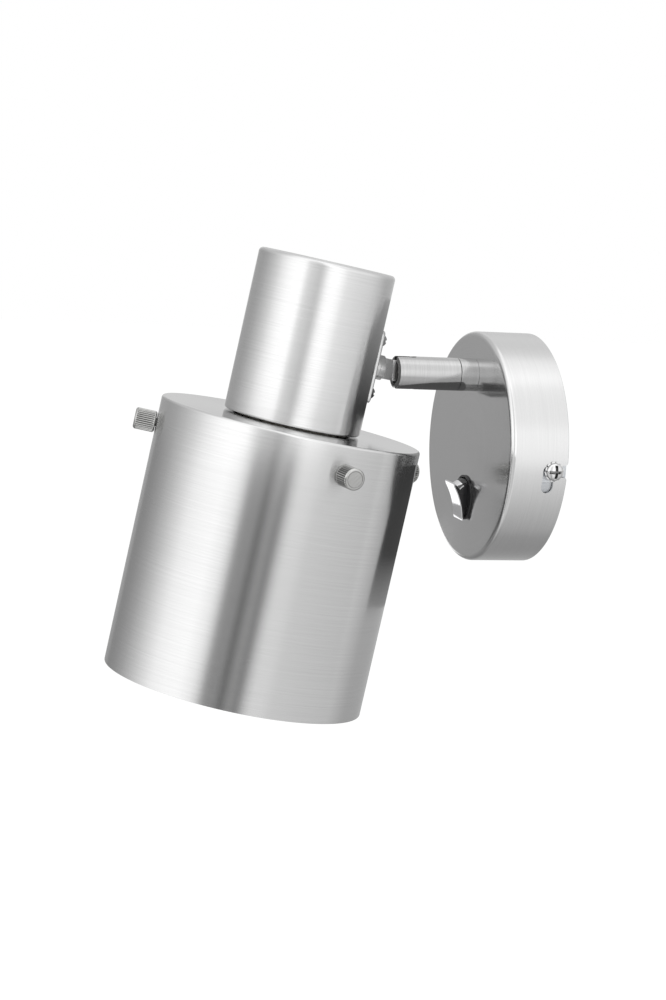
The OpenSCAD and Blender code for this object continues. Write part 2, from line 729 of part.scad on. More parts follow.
// Brass leaf under the core, on its rivet
module centre_contact() color("gold") in_head() {
    bar(contact_rivet_r, core_low_z, core_top_z + contact_t);
    block(contact_l, contact_w, core_low_z - contact_t, core_low_z);
}

// Wire clamp screws on the core
module contact_screws() color("silver")
    in_head() for (side = [-1, 1]) translate([side * holder_screw_x, 0, 0]) {
    bar(holder_screw_r, core_top_z - holder_screw_l, core_top_z);
    slotted_screw(holder_screw_head_r, core_top_z, core_top_z + holder_screw_head_h);
}

// Ring nuts above and below the shade carrier
module shade_rings() color("ivory") in_head() {
    low = carrier_top_z - sheet_t;
    ring(ring_r, skirt_r + thread_gap, carrier_top_z, carrier_top_z + upper_ring_t, fn_large);
    ring(ring_r, skirt_r + thread_gap, low - ring_t, low, fn_large);
}

// Spider with a bent tab behind each thumbscrew
module shade_carrier() color("silver") difference() {
    union() {
        in_head() {
            bar(carrier_disc_r, carrier_top_z - sheet_t, carrier_top_z, fn_large);
            for (angle = thumb_angles) rotate([0, 0, angle - 90]) {
                translate([0, -carrier_arm_w / 2, carrier_top_z - sheet_t])
                    cube([carrier_face, carrier_arm_w, sheet_t]);
                translate([carrier_face - sheet_t, -carrier_arm_w / 2, carrier_top_z - carrier_tab_l])
                    cube([sheet_t, carrier_arm_w, carrier_tab_l]);
            }
        }
        for (angle = thumb_angles) at_thumb(angle)
            bar(thumb_boss_r, carrier_face - sheet_t - thumb_boss_t, carrier_face - sheet_t);
    }
    in_head() bar(skirt_r + thread_gap, carrier_top_z - sheet_t - eps, carrier_top_z + eps, fn_large);
    for (angle = thumb_angles) at_thumb(angle)
        bar(thumb_shank_r + running_gap, carrier_face / 2, carrier_face + eps);
}

// Large cylinder, closed top with a hole for the lampholder, open below
module shade() color("lightgray") difference() {
    in_head() cup(shade_r, shade_top_z, shade_low_z, shade_wall, shade_edge_r, shade_hole_r);
    for (angle = thumb_angles) at_thumb(angle) bar(thumb_hole_r, shade_r / 2, shade_r + eps);
}

// Knurled-head screw through the shade into the carrier
module thumbscrew(angle) color("lightgray") at_thumb(angle) translate([0, 0, shade_r + face_gap]) {
    rotate_extrude($fn = fn_small) polygon([
        [0, 0], [thumb_head_d / 2 - thumb_chamfer, 0], [thumb_head_d / 2, thumb_chamfer],
        [thumb_head_d / 2, thumb_head_l - thumb_chamfer], [thumb_head_d / 2 - thumb_chamfer, thumb_head_l],
        [0, thumb_head_l]]);
    bar(thumb_shank_r, -thumb_shank_l, 0);
}

// Wires inside the canopy: block to arm and block to switch
module canopy_leads() color("saddlebrown") on_wall() {
    lead(arm_lead_route);
    lead(switch_lead_route);
}

// Wire inside the tube, from the knuckle up and into the nipple
module head_leads() color("saddlebrown") in_head() lead(head_lead_route);

wall_bracket();
cable_grommet();
earth_screw();
terminal_block();
terminal_screws();
canopy();
canopy_screws();
canopy_washers();
switch_housing();
switch_contacts();
switch_rocker();
arm_collar();
collar_washer();
collar_nut();
arm_tube();
arm_clip();
knuckle_screw();
knuckle_bushes();
knuckle_stud();
knuckle_washer();
mounting_plate();
plate_screws();
stud_nut();
tube_housing();
holder_bracket();
holder_nipple();
nipple_nuts();
holder_cap();
holder_core();
holder_skirt();
screw_shell();
centre_contact();
contact_screws();
shade_rings();
shade_carrier();
shade();
thumbscrew(thumb_angles[0]);  // thumbscrew_left
thumbscrew(thumb_angles[1]);  // thumbscrew_front
thumbscrew(thumb_angles[2]);  // thumbscrew_back
canopy_leads();
head_leads();
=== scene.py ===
# Tube wall light: a round canopy with a rocker switch, a turning arm with a friction knuckle, a closed
# tube that holds the lampholder, and an open cylinder shade on three thumbscrews. It is dressed over the
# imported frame. Sizes are in millimetres here and become metres where a mesh is made.
import math

import bmesh
import bpy
import numpy as np
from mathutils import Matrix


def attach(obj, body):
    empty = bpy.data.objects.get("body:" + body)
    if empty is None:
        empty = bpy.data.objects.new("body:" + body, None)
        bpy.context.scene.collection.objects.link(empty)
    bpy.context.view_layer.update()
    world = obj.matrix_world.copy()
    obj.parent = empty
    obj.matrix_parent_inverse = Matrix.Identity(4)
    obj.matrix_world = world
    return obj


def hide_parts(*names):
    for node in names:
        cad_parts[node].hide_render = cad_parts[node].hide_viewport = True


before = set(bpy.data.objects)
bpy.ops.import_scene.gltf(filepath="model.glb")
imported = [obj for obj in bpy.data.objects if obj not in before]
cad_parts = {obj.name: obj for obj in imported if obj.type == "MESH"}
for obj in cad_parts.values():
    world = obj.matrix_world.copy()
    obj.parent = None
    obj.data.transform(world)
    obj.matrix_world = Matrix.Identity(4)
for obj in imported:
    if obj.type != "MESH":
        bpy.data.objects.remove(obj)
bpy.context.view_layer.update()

# Camera: a long lens at the lamp's right front, a little above it, whose heading, rise and roll put the
# outlines where they are in the picture.
camera_data = bpy.data.cameras.new("camera")
camera_data.sensor_width = 36
camera_data.lens = 84.911
camera_data.clip_end = 100
camera = bpy.data.objects.new("camera", camera_data)
camera_right = np.array((0.306292, 0.949469, 0.068511))
camera_back = np.array((0.935876, -0.313508, 0.160778))
camera_turn = np.eye(4)
camera_turn[:3, 0] = camera_right
camera_turn[:3, 1] = np.cross(camera_back, camera_right)
camera_turn[:3, 2] = camera_back
camera_turn[:3, 3] = (0.951531, -0.405149, 0.138441)
camera.matrix_world = camera_turn.T.tolist()
bpy.context.scene.collection.objects.link(camera)
bpy.context.scene.camera = camera


# Stage: a pale floor well below the lamp, a white world, and a studio tent. The tent is a large round
# screen of pale and dark panels that only polished surfaces see, as in a product studio.
def add(tree, kind, inputs=(), **settings):
    """Adds a shader node. Each entry of inputs is a socket to link or a value to set."""
    made = tree.nodes.new("ShaderNode" + kind)
    for key, value in settings.items():
        setattr(made, key, value)
    for key, value in dict(inputs).items():
        if isinstance(value, bpy.types.NodeSocket):
            tree.links.new(value, made.inputs[key])
        else:
            made.inputs[key].default_value = value
    return made


def new_material(name):
    """An empty node material and its output node."""
    material = bpy.data.materials.new(name)
    material.use_nodes = True
    material.node_tree.nodes.clear()
    return material, material.node_tree, add(material.node_tree, "OutputMaterial")


def maths(tree, operation, *values):
    """The result of a maths node over values or sockets."""
    return add(tree, "Math", dict(enumerate(values)), operation=operation).outputs[0]


def share_of(tree, value, low, high):
    """Where a value lies between low and high, as a number from 0 to 1."""
    return add(tree, "MapRange", {"Value": value, "From Min": low, "From Max": high}).outputs[0]


def shine(tree, out, colour, strength=1):
    """Makes a material's surface give off light."""
    glow = add(tree, "Emission", {"Color": colour, "Strength": strength})
    tree.links.new(glow.outputs[0], out.inputs["Surface"])


def ramp(tree, factor, stops):
    """A colour ramp from (place, grey) stops."""
    made = add(tree, "ValToRGB", {"Fac": factor})
    elements = made.color_ramp.elements
    while len(elements) > 1:
        elements.remove(elements[-1])
    elements[0].position = stops[0][0]
    elements[0].color = (*[stops[0][1]] * 3, 1)
    for place, grey in stops[1:]:
        elements.new(place).color = (*[grey] * 3, 1)
    return made.outputs["Color"]


world = bpy.data.worlds.new("white studio")
world.use_nodes = True
world_tree = world.node_tree
world_tree.nodes.clear()
seen = add(world_tree, "LightPath").outputs
seen_any = maths(world_tree, "MAXIMUM", seen["Is Camera Ray"], seen["Is Glossy Ray"])
seen_any = maths(world_tree, "MAXIMUM", seen_any, seen["Is Transmission Ray"])
room_light = add(world_tree, "Background", {"Color": (1, 1, 1, 1), "Strength": 0.85})
backdrop = add(world_tree, "Background", {"Color": (1, 1, 1, 1), "Strength": 1})
world_mix = add(world_tree, "MixShader", {0: seen_any, 1: room_light.outputs[0], 2: backdrop.outputs[0]})
add(world_tree, "OutputWorld", {"Surface": world_mix.outputs[0]})
bpy.context.scene.world = world
bpy.context.scene.view_settings.view_transform = "Standard"

# Upright panels of the tent: (degrees to the right of the camera, as seen from the lamp; brightness)
tent_panels = [
    (-159, 0.41), (-147, 0.41), (-128, 0.42), (-114, 0.48), (-99, 0.63), (-85, 0.84), (-74, 1.10),
    (-60, 1.36), (-47, 1.45), (-35, 1.46), (-30, 1.12), (-27, 0.95), (-18, 0.82), (-14, 0.80), (-9, 0.68),
    (-4.6, 0.80), (0, 1.06), (4.6, 1.40), (11.5, 1.52), (18, 1.55), (28, 1.42), (37, 1.13), (47, 1.09),
    (60, 1.03), (74, 1.00), (89, 0.94), (99, 0.84), (120, 0.60), (150, 0.56), (180, 0.62), (200.9, 0.37)]
# Rows of the tent: (degrees above the lamp, brightness, how far the upright panels show there)
tent_rows = [
    (-90, 0.30, 0), (-71, 0.50, 0.5), (-56, 0.58, 0.9), (-42, 0.66, 1), (-29, 0.75, 1), (-16, 0.85, 1),
    (-10, 0.96, 1), (-4, 1.05, 1), (8, 1.12, 1), (20, 1.16, 0.9), (32, 1.10, 0.6), (48, 1.12, 0.6),
    (60, 1.22, 0.5), (66.5, 1.52, 0.3), (72, 1.42, 0.2), (90, 1.40, 0)]
camera_heading = math.degrees(math.atan2(camera_back[1], camera_back[0]))
tent_scale = 2
tent_material, tent_tree, tent_out = new_material("tent panels")
tent_place = add(tent_tree, "TexCoord").outputs["Object"]
tent_split = add(tent_tree, "SeparateXYZ", {0: tent_place}).outputs
tent_heading = maths(tent_tree, "ARCTAN2", tent_split["Y"], tent_split["X"])
tent_turn = share_of(tent_tree, tent_heading, -math.pi, math.pi)
tent_reach = add(tent_tree, "VectorMath", {0: tent_place}, operation="LENGTH").outputs["Value"]
tent_slope = maths(tent_tree, "ARCSINE", maths(tent_tree, "DIVIDE", tent_split["Z"], tent_reach))
tent_height = share_of(tent_tree, tent_slope, -math.pi / 2, math.pi / 2)
tent_round = ramp(tent_tree, tent_turn, sorted(
    (((degrees + camera_heading + 180) / 360) % 1, grey / tent_scale) for degrees, grey in tent_panels))
tent_level = ramp(tent_tree, tent_height, [((rise + 90) / 180, grey / tent_scale)
                                           for rise, grey, hold in tent_rows])
tent_hold = ramp(tent_tree, tent_height, [((rise + 90) / 180, hold) for rise, grey, hold in tent_rows])
plain_grey = (1 / tent_scale,) * 3 + (1,)
tent_mixed = add(tent_tree, "Mix", {0: tent_hold, 6: plain_grey, 7: tent_round}, data_type="RGBA").outputs[2]
tent_colour = add(tent_tree, "VectorMath", {0: tent_mixed, 1: tent_level}, operation="MULTIPLY").outputs[0]
shine(tent_tree, tent_out, tent_colour, tent_scale * tent_scale)
tent_mesh = bpy.data.meshes.new("tent")
tent_form = bmesh.new()
bmesh.ops.create_uvsphere(tent_form, u_segments=64, v_segments=32, radius=3)
tent_form.to_mesh(tent_mesh)

# A curved flag stands close round the camera's side of the shade, below the tube, so that the shade's shine
# has stripes of its own: (degrees to the right of the camera at which the shine leaves; brightness).
wrap_stripes = [
    (-150, 0.30), (-138, 0.33), (-128, 0.38), (-114, 0.50), (-99, 0.73), (-85, 1.03), (-74, 1.29),
    (-60, 1.41), (-47, 1.45), (-35, 1.24), (-29, 0.92), (-26, 0.60), (-23, 0.38), (-18, 0.34), (-14, 0.36),
    (-11, 0.26), (-8, 0.16), (-5, 0.28), (-1, 0.40), (2, 0.36), (5, 0.26), (8, 0.36), (12, 0.70),
    (18, 0.97), (28, 0.95), (37, 0.84), (60, 0.78), (92, 0.72)]
wrap_reach = 0.110
wrap_top = 0.003
wrap_low = -0.20
wrap_columns = 97
shade_reach = 0.05625
shade_axis_y = -0.1087  # at the room's middle height
shade_axis_lean = 0.1638
sideways = np.array((camera_right[0], camera_right[1], 0))
sideways /= np.linalg.norm(sideways)
ahead = np.array((sideways[1], -sideways[0], 0))


def wrap_place(shine):
    """Where mirrored light meets the flag, in degrees round the shade: it starts on the shade at half its
    heading and runs straight on to the flag's radius."""
    heading = np.radians(shine)
    start = shade_reach * np.stack((np.cos(heading / 2), np.sin(heading / 2)))
    way = np.stack((np.cos(heading), np.sin(heading)))
    outward = (start * way).sum(0)
    meet = start + way * (np.sqrt(outward ** 2 + wrap_reach ** 2 - shade_reach ** 2) - outward)
    return np.degrees(np.arctan2(meet[1], meet[0]))


def sheet_mesh(name, corners):
    """A mesh of one flat face."""
    mesh = bpy.data.meshes.new(name)
    mesh.from_pydata(corners, [], [tuple(range(len(corners)))])
    return mesh


def shown_to_gloss(name, mesh, material):
    """A stage object that only polished surfaces see."""
    mesh.materials.append(material)
    made = bpy.data.objects.new(name, mesh)
    made.visible_camera = False
    made.visible_diffuse = False
    made.visible_shadow = False
    made.visible_transmission = False
    material.cycles.emission_sampling = "NONE"
    bpy.context.scene.collection.objects.link(made)


shown_to_gloss("tent", tent_mesh, tent_material)
stripe_headings, stripe_greys = np.array(wrap_stripes).T
stripe_places = wrap_place(stripe_headings)
wrap_first, wrap_last = stripe_places[[0, -1]]
stripe_shares = (stripe_places - wrap_first) / (wrap_last - wrap_first)
wrap_material, wrap_tree, wrap_out = new_material("striped flag")
wrap_spot = add(wrap_tree, "TexCoord").outputs["UV"]
wrap_across = add(wrap_tree, "SeparateXYZ", {0: wrap_spot}).outputs["X"]
wrap_colour = ramp(wrap_tree, wrap_across, list(zip(stripe_shares, stripe_greys / tent_scale)))
shine(wrap_tree, wrap_out, wrap_colour, tent_scale)
wrap_share, wrap_height = np.meshgrid(np.linspace(0, 1, wrap_columns), (wrap_low, wrap_top))
wrap_turn = np.radians(wrap_first + (wrap_last - wrap_first) * wrap_share)[..., None]
wrap_axis = np.stack((0 * wrap_height, shade_axis_y + shade_axis_lean * wrap_height, wrap_height), -1)
wrap_points = wrap_axis + wrap_reach * (np.cos(wrap_turn) * ahead + np.sin(wrap_turn) * sideways)
wrap_first_corner = np.arange(wrap_columns - 1)
wrap_faces = np.stack((wrap_first_corner, wrap_first_corner + 1, wrap_first_corner + wrap_columns + 1,
                       wrap_first_corner + wrap_columns), -1)
wrap_mesh = bpy.data.meshes.new("wrap")
wrap_mesh.from_pydata(wrap_points.reshape(-1, 3), [], wrap_faces.tolist())
wrap_uv = np.stack((wrap_share, wrap_share), -1).reshape(-1, 2)[wrap_faces.ravel()]
wrap_mesh.uv_layers.new(name="flag").data.foreach_set("uv", wrap_uv.astype(np.float32).ravel())
shown_to_gloss("wrap", wrap_mesh, wrap_material)

# Three dark flags: two between the head and the canopy, which the tube, the shade and the canopy's rim show
# as a dark edge, and one close under the arm, wide at the canopy. Rows: (height; brightness there).
flag_rows = [(-0.070, 0.30), (-0.058, 0.20), (-0.046, 0.07), (-0.020, 0.06), (0.012, 0.04), (0.033, 0.18),
             (0.062, 0.38)]
shade_flag_y = -0.060
shade_flag = [(-0.030, -0.070), (0.040, -0.070), (0.040, -0.006), (0.002, -0.002), (0.002, -0.028),
              (-0.030, -0.028)]
tube_flag_y = -0.064
tube_flag = [(-0.016, 0.008), (0.024, 0.008), (0.022, 0.045), (0.014, 0.062), (-0.016, 0.062)]
arm_flag_z = 0.0232
arm_flag = [(-0.004, -0.062), (0.004, -0.062), (0.009, -0.045), (0.012, -0.030), (-0.004, -0.030)]
flag_low, flag_top = flag_rows[0][0], flag_rows[-1][0]
dark_material, dark_tree, dark_out = new_material("dark flag")
dark_rise = add(dark_tree, "SeparateXYZ", {0: add(dark_tree, "TexCoord").outputs["Object"]}).outputs["Z"]
dark_height = share_of(dark_tree, dark_rise, flag_low, flag_top)
dark_grey = ramp(dark_tree, dark_height, [((z - flag_low) / (flag_top - flag_low), grey)
                                          for z, grey in flag_rows])
shine(dark_tree, dark_out, dark_grey)
for name, corners in (("shade flag", [(x, shade_flag_y, z) for x, z in shade_flag]),
                      ("tube flag", [(x, tube_flag_y, z) for x, z in tube_flag]),
                      ("arm flag", [(x, y, arm_flag_z) for x, y in arm_flag])):
    shown_to_gloss(name, sheet_mesh(name, corners), dark_material)

# A pale card stands where the hollow face of the switch shows it.
card_centre = np.array((-0.213, -0.050, -0.100))
card_corners = [(0, -0.034, -0.028), (0, 0.034, -0.028), (0, 0.034, 0.022), (0, -0.034, 0.022)]
card_material, card_tree, card_out = new_material("pale card")
shine(card_tree, card_out, (1, 1, 1, 1), 1.3)
card_mesh = sheet_mesh("card", [tuple(card_centre + corner) for corner in card_corners])
shown_to_gloss("card", card_mesh, card_material)

floor_reach = 12
floor_height = -1.1
floor_material, floor_tree, floor_out = new_material("pale floor")
floor_paint = add(floor_tree, "BsdfDiffuse", {"Color": (0.97, 0.97, 0.97, 1)})
floor_white = add(floor_tree, "Emission", {"Color": (1, 1, 1, 1), "Strength": 0.2}).outputs[0]
floor_seen = add(floor_tree, "LightPath").outputs["Is Camera Ray"]
floor_dark = add(floor_tree, "Emission", {"Color": (0, 0, 0, 1)}).outputs[0]
floor_glow = add(floor_tree, "MixShader", {0: floor_seen, 1: floor_dark, 2: floor_white})
floor_mix = add(floor_tree, "AddShader", {0: floor_paint.outputs[0], 1: floor_glow.outputs[0]})
floor_tree.links.new(floor_mix.outputs[0], floor_out.inputs["Surface"])
floor_mesh = sheet_mesh("floor", [(x * floor_reach, y * floor_reach, floor_height) for x, y in (
    (-1, -1), (1, -1), (1, 1), (-1, 1))])
floor_mesh.materials.append(floor_material)
floor = bpy.data.objects.new("floor", floor_mesh)
floor.visible_glossy = False
bpy.context.scene.collection.objects.link(floor)

lamp_size = 1.2
lamp_aim = np.array((0, -0.09, 0))
for name, place, power in (("window light", (1.2, -1.6, 1.4), 9), ("wall light", (-1.4, -1.2, 0.9), 5)):
    lamp_data = bpy.data.lights.new(name, "AREA")
    lamp_data.size = lamp_size
    lamp_data.energy = power
    lamp = bpy.data.objects.new(name, lamp_data)
    lamp.visible_glossy = False
    towards = lamp_aim - np.array(place)
    lamp.rotation_euler = (math.atan2(math.hypot(*towards[:2]), -towards[2]), 0,
                           math.atan2(towards[1], towards[0]) - math.pi / 2)
    lamp.location = place
    bpy.context.scene.collection.objects.link(lamp)


# Canopy: a cup drawn from 1 mm steel with a rounded front edge, brushed round its side and over its
# face, with a hole for the switch and a hooked slot in each side for the bracket's screws.
MM = 0.001
canopy_r = 50
canopy_depth = 26
canopy_wall = 1
canopy_edge_r = 2.2
switch_drop = 22.8
switch_body_r = 9.3


def eased(outline, size, steps):
    """Rounds an outline's corners: each becomes the quadratic curve from a point `size` before it to one
    `size` after it, with the corner itself as the curve's middle control point."""
    corner = np.asarray(outline, float)
    before = np.roll(corner, 1, 0) - corner
    after = np.roll(corner, -1, 0) - corner
    far_before = np.linalg.norm(before, axis=1, keepdims=True)
    far_after = np.linalg.norm(after, axis=1, keepdims=True)
    size = np.broadcast_to(np.asarray(size, float), len(corner))[:, None]
    start = corner + before / far_before * np.minimum(size, 0.49 * far_before)
    end = corner + after / far_after * np.minimum(size, 0.49 * far_after)
    t = np.linspace(0, 1, steps + 1)[None, :, None]
    curve = (1 - t) ** 2 * start[:, None] + 2 * t * (1 - t) * corner[:, None] + t ** 2 * end[:, None]
    curve = curve.reshape(-1, corner.shape[1])
    return np.concatenate((curve, curve[:1]))


def turned(profile, steps=192, radius=None):
    """A profile of (radius, height) points carried round the Z axis: x = r cos a, y = r sin a, z = h.
    Where `radius` is given, it is a function of r, h and a that returns the radius there."""
    profile = np.asarray(profile, float)
    a = np.linspace(0, 2 * np.pi, steps + 1)[None, :]
    r = profile[:, 0, None] + 0 * a
    h = profile[:, 1, None] + 0 * a
    if radius is not None:
        r = radius(r, h, a)
    return np.stack((r * np.cos(a), r * np.sin(a), h), -1)


def rod(radius, low, high, steps=48):
    """A plain round bar about the Z axis."""
    return turned([(0, low), (radius, low), (radius, high), (0, high)], steps)


def drawn_out(outline, low, high):
    """An outline of (x, y) points carried straight along Z from low to high, as two flat ends and a wall."""
    outline = np.asarray(outline, float)
    centre = outline.mean(0)
    rows = [(centre, low), (outline, low), (outline, high), (centre, high)]
    return np.stack([np.concatenate((np.broadcast_to(p, outline.shape), np.full((len(outline), 1), z)), 1)
                     for p, z in rows])


def piece(name, *sheets, hollow=0, sharp=32, finished=True):
    """Makes one object from grids of points in mm (rows x columns x 3): each cell is a quad, coincident
    points are merged, folds over `sharp` degrees stay sharp, and the UV map runs along columns and rows.
    The last keyword gives for the first grid, from 0 to 1, how deep each point lies in a groove or recess;
    materials paint shade there by it."""
    points, faces, uvs, shade_depths, first = [], [], [], [], 0
    for sheet in sheets:
        rows, columns = sheet.shape[:2]
        shade_depths.append(np.broadcast_to(0 if shade_depths else hollow, (rows, columns)).ravel())
        i, j = np.meshgrid(np.arange(rows - 1), np.arange(columns - 1), indexing="ij")
        corner = first + i * columns + j
        quad = np.stack((corner, corner + 1, corner + columns + 1, corner + columns), -1).reshape(-1, 4)
        points.append(sheet.reshape(-1, 3))
        faces.append(quad)
        v, u = np.divmod(quad - first, columns)
        uvs.append(np.stack((u / (columns - 1), v / (rows - 1)), -1).reshape(-1, 2))
        first += rows * columns
    mesh = bpy.data.meshes.new(name)
    mesh.from_pydata(np.concatenate(points) * MM, [], np.concatenate(faces).tolist())
    mesh.uv_layers.new(name="surface").data.foreach_set("uv", np.concatenate(uvs).astype(np.float32).ravel())
    shade_depths = np.concatenate(shade_depths).astype(np.float32)
    # This point layer carries the depths for painted shade in grooves and recesses.
    mesh.attributes.new("hollow", "FLOAT", "POINT").data.foreach_set("value", shade_depths)
    made = bpy.data.objects.new(name, mesh)
    bpy.context.scene.collection.objects.link(made)
    tidy(made, sharp)
    if finished:
        made.modifiers.new("even faces", "WEIGHTED_NORMAL").keep_sharp = True
    return made


def tidy(made, sharp=32):
    """Merges coincident points, turns faces outwards and marks the sharp folds."""
    form = bmesh.new()
    form.from_mesh(made.data)
    bmesh.ops.remove_doubles(form, verts=form.verts, dist=0.002 * MM)
    bmesh.ops.dissolve_degenerate(form, edges=form.edges, dist=0.002 * MM)
    bmesh.ops.recalc_face_normals(form, faces=form.faces)
    form.to_mesh(made.data)
    form.free()
    made.data.shade_smooth()
    made.data.set_sharp_from_angle(angle=math.radians(sharp))


def cutter(grid):
    """A piece that only serves to be taken out of another."""
    return piece("cutter", grid, finished=False)


def cut(made, *cutters, sharp=32):
    """Takes the cutters' space out of a piece and removes the cutters."""
    for cutter in cutters:
        step = made.modifiers.new("cut", "BOOLEAN")
        step.operation = "DIFFERENCE"
        step.solver = "EXACT"
        step.object = cutter
    shape = bpy.data.meshes.new_from_object(made.evaluated_get(bpy.context.evaluated_depsgraph_get()))
    made.modifiers.clear()
    made.data = shape
    for cutter in cutters:
        bpy.data.objects.remove(cutter)
    tidy(made, sharp)
    made.modifiers.new("even faces", "WEIGHTED_NORMAL").keep_sharp = True


def on_wall(p):
    """Points of (right, up, out from the wall) in the room's axes."""
    return np.stack((p[..., 0], -p[..., 2], p[..., 1]), -1)


def new_group(name, *numbers):
    """A node group over a place, two colours, two roughnesses and further numbers, and its inputs."""
    group = bpy.data.node_groups.new(name, "ShaderNodeTree")
    kinds = {"Vector": "Vector", "Dark": "Color", "Light": "Color"}
    for key in ("Vector", *numbers, "Dark", "Light", "Smooth", "Rough"):
        group.interface.new_socket(key, in_out="INPUT", socket_type="NodeSocket" + kinds.get(key, "Float"))
    for key, kind in (("Color", "Color"), ("Roughness", "Float"), ("Height", "Float")):
        group.interface.new_socket(key, in_out="OUTPUT", socket_type="NodeSocket" + kind)
    return group, group.nodes.new("NodeGroupInput").outputs


def put_out(group, given, level, height):
    """Ends a group: a level from 0 to 1 picks colour and roughness, and the height goes with them."""
    colour = add(group, "Mix", {0: level, 6: given["Dark"], 7: given["Light"]}, data_type="RGBA").outputs[2]
    rough = add(group, "MapRange", {"Value": level, "To Min": given["Rough"], "To Max": given["Smooth"]})
    out = group.nodes.new("NodeGroupOutput").inputs
    for socket, key in ((colour, "Color"), (rough.outputs[0], "Roughness"), (height, "Height")):
        group.links.new(socket, out[key])
    return group


def brushed_group():
    """Brush marks round an axis: noise stretched along circles, whose place across the marks is height
    plus radius, so one rule serves a side and a face. A slow cloud varies the depth of the marks."""
    group, given = new_group("brush marks", "Along", "Across", "Cloud")
    part = add(group, "SeparateXYZ", {0: given["Vector"]}).outputs
    flat = add(group, "CombineXYZ", {0: part["X"], 1: part["Y"]}).outputs[0]
    reach = add(group, "VectorMath", {0: flat}, operation="LENGTH").outputs["Value"]
    across = maths(group, "MULTIPLY", maths(group, "ADD", reach, part["Z"]), given["Across"])
    along = [maths(group, "MULTIPLY", part[key], given["Along"]) for key in "XY"]
    place = add(group, "CombineXYZ", {0: along[0], 1: along[1], 2: across}).outputs[0]
    marks = add(group, "TexNoise", {"Vector": place, "Scale": 1, "Detail": 5, "Roughness": 0.7})
    marks = marks.outputs["Fac"]
    cloud = add(group, "TexNoise", {"Vector": given["Vector"], "Scale": given["Cloud"], "Detail": 3})
    slow = maths(group, "MULTIPLY", cloud.outputs["Fac"], 0.28)
    both = maths(group, "MULTIPLY_ADD", marks, 0.72, slow)
    return put_out(group, given, share_of(group, both, 0.3, 0.7), marks)


brush_marks = brushed_group()
bump_depth = 0.0002


def tint(colour):
    """A colour socket's value, from three shares or one grey."""
    return (*np.broadcast_to(colour, 3), 1)


def steel(name, dark, light, smooth, rough, centre=(0, 0, 0), lean=0.0, along=22, across=3200, cloud=14,
          grain=0.0, relief=0.05, turn=0.25, flat=None, groove_shade_strength=0.0):
    """Metal with brush marks about an axis: `centre` in mm and `lean`, the axis's turn about X in radians,
    bring the piece's own points to that axis. `grain` stretches the gloss across the marks. `flat` is
    (start, end, share): between two places along the profile the roughness is that share of the rest.
    The last argument sets how far painted shade darkens the bottoms of grooves and recesses."""
    material, tree, out = new_material(name)
    cos, sin = math.cos(lean), math.sin(lean)
    x, y, z = (-value * MM for value in centre)
    spot = add(tree, "Mapping", {"Vector": add(tree, "TexCoord").outputs["Object"], "Rotation": (lean, 0, 0),
                                 "Location": (x, y * cos - z * sin, y * sin + z * cos)}).outputs[0]
    marks = add(tree, "Group", {"Vector": spot, "Along": along, "Across": across, "Cloud": cloud,
                                "Smooth": smooth, "Rough": rough, "Dark": tint(dark), "Light": tint(light)},
                node_tree=brush_marks)
    bump = add(tree, "Bump", {"Height": marks.outputs["Height"], "Strength": relief, "Distance": bump_depth})
    rough = marks.outputs["Roughness"]
    if flat:
        start, end, share = flat
        along_profile = add(tree, "SeparateXYZ", {0: add(tree, "TexCoord").outputs["UV"]}).outputs["Y"]
        fade = 0.004
        calm = ramp(tree, along_profile, [(start - fade, 1), (start, share), (end, share), (end + fade, 1)])
        rough = maths(tree, "MULTIPLY", rough, calm)
    colour = marks.outputs["Color"]
    # Painted shade: grooves and recesses are mixed towards black by the mesh's groove depth.
    if groove_shade_strength:
        groove = maths(tree, "MULTIPLY", add(tree, "Attribute", attribute_name="hollow").outputs["Fac"], groove_shade_strength)
        colour = add(tree, "Mix", {0: groove, 6: colour, 7: (0, 0, 0, 1)}, data_type="RGBA").outputs[2]
    coat = add(tree, "BsdfPrincipled", {"Base Color": colour, "Metallic": 1,
                                        "Roughness": rough, "Normal": bump.outputs[0]})
    if grain:
        coat.inputs["Anisotropic"].default_value = grain
        coat.inputs["Anisotropic Rotation"].default_value = turn
        lay = add(tree, "Tangent", direction_type="UV_MAP", uv_map="surface")
        tree.links.new(lay.outputs[0], coat.inputs["Tangent"])
    tree.links.new(coat.outputs[0], out.inputs["Surface"])
    return material


def dress(made, material, body, *nodes):
    """Gives a piece its material and its body, and hides the nodes that it stands for."""
    made.data.materials.clear()
    made.data.materials.append(material)
    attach(made, body)
    if nodes:
        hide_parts(*nodes)


def corner_arc(x, y, radius, start, stop, steps=8):
    """Points on a quarter circle or other arc about (x, y)."""
    t = np.radians(np.linspace(start, stop, steps + 1))
    return np.stack((x + radius * np.cos(t), y + radius * np.sin(t)), 1)


slot_drop = -2.9


def side_slot(sign):
    """Outline of the hooked slot as (out, up), carried through the canopy's side."""
    half = 2.6
    leg = 8.5
    end = -9.8
    inner_r = 0.6
    low, high = slot_drop - half, slot_drop + half
    flare = np.array([(-2, 1.2), (0, 1.0), (0.4, 0.25), (1.2, 0)])  # the rear mouth: (out, how much wider)
    outline = np.concatenate((
        flare + (0, high), corner_arc(leg, slot_drop, half, 90, 0), corner_arc(leg, end, half, 0, -180, 16),
        corner_arc(leg - half - inner_r, low - inner_r, inner_r, 0, 90, 4), flare[::-1] * (1, -1) + (0, low)))
    outline = np.concatenate((outline, outline[:1]))
    solid = drawn_out(outline, canopy_r * 0.7, canopy_r * 1.2)
    return np.stack((sign * solid[..., 2], -solid[..., 0], solid[..., 1]), -1)


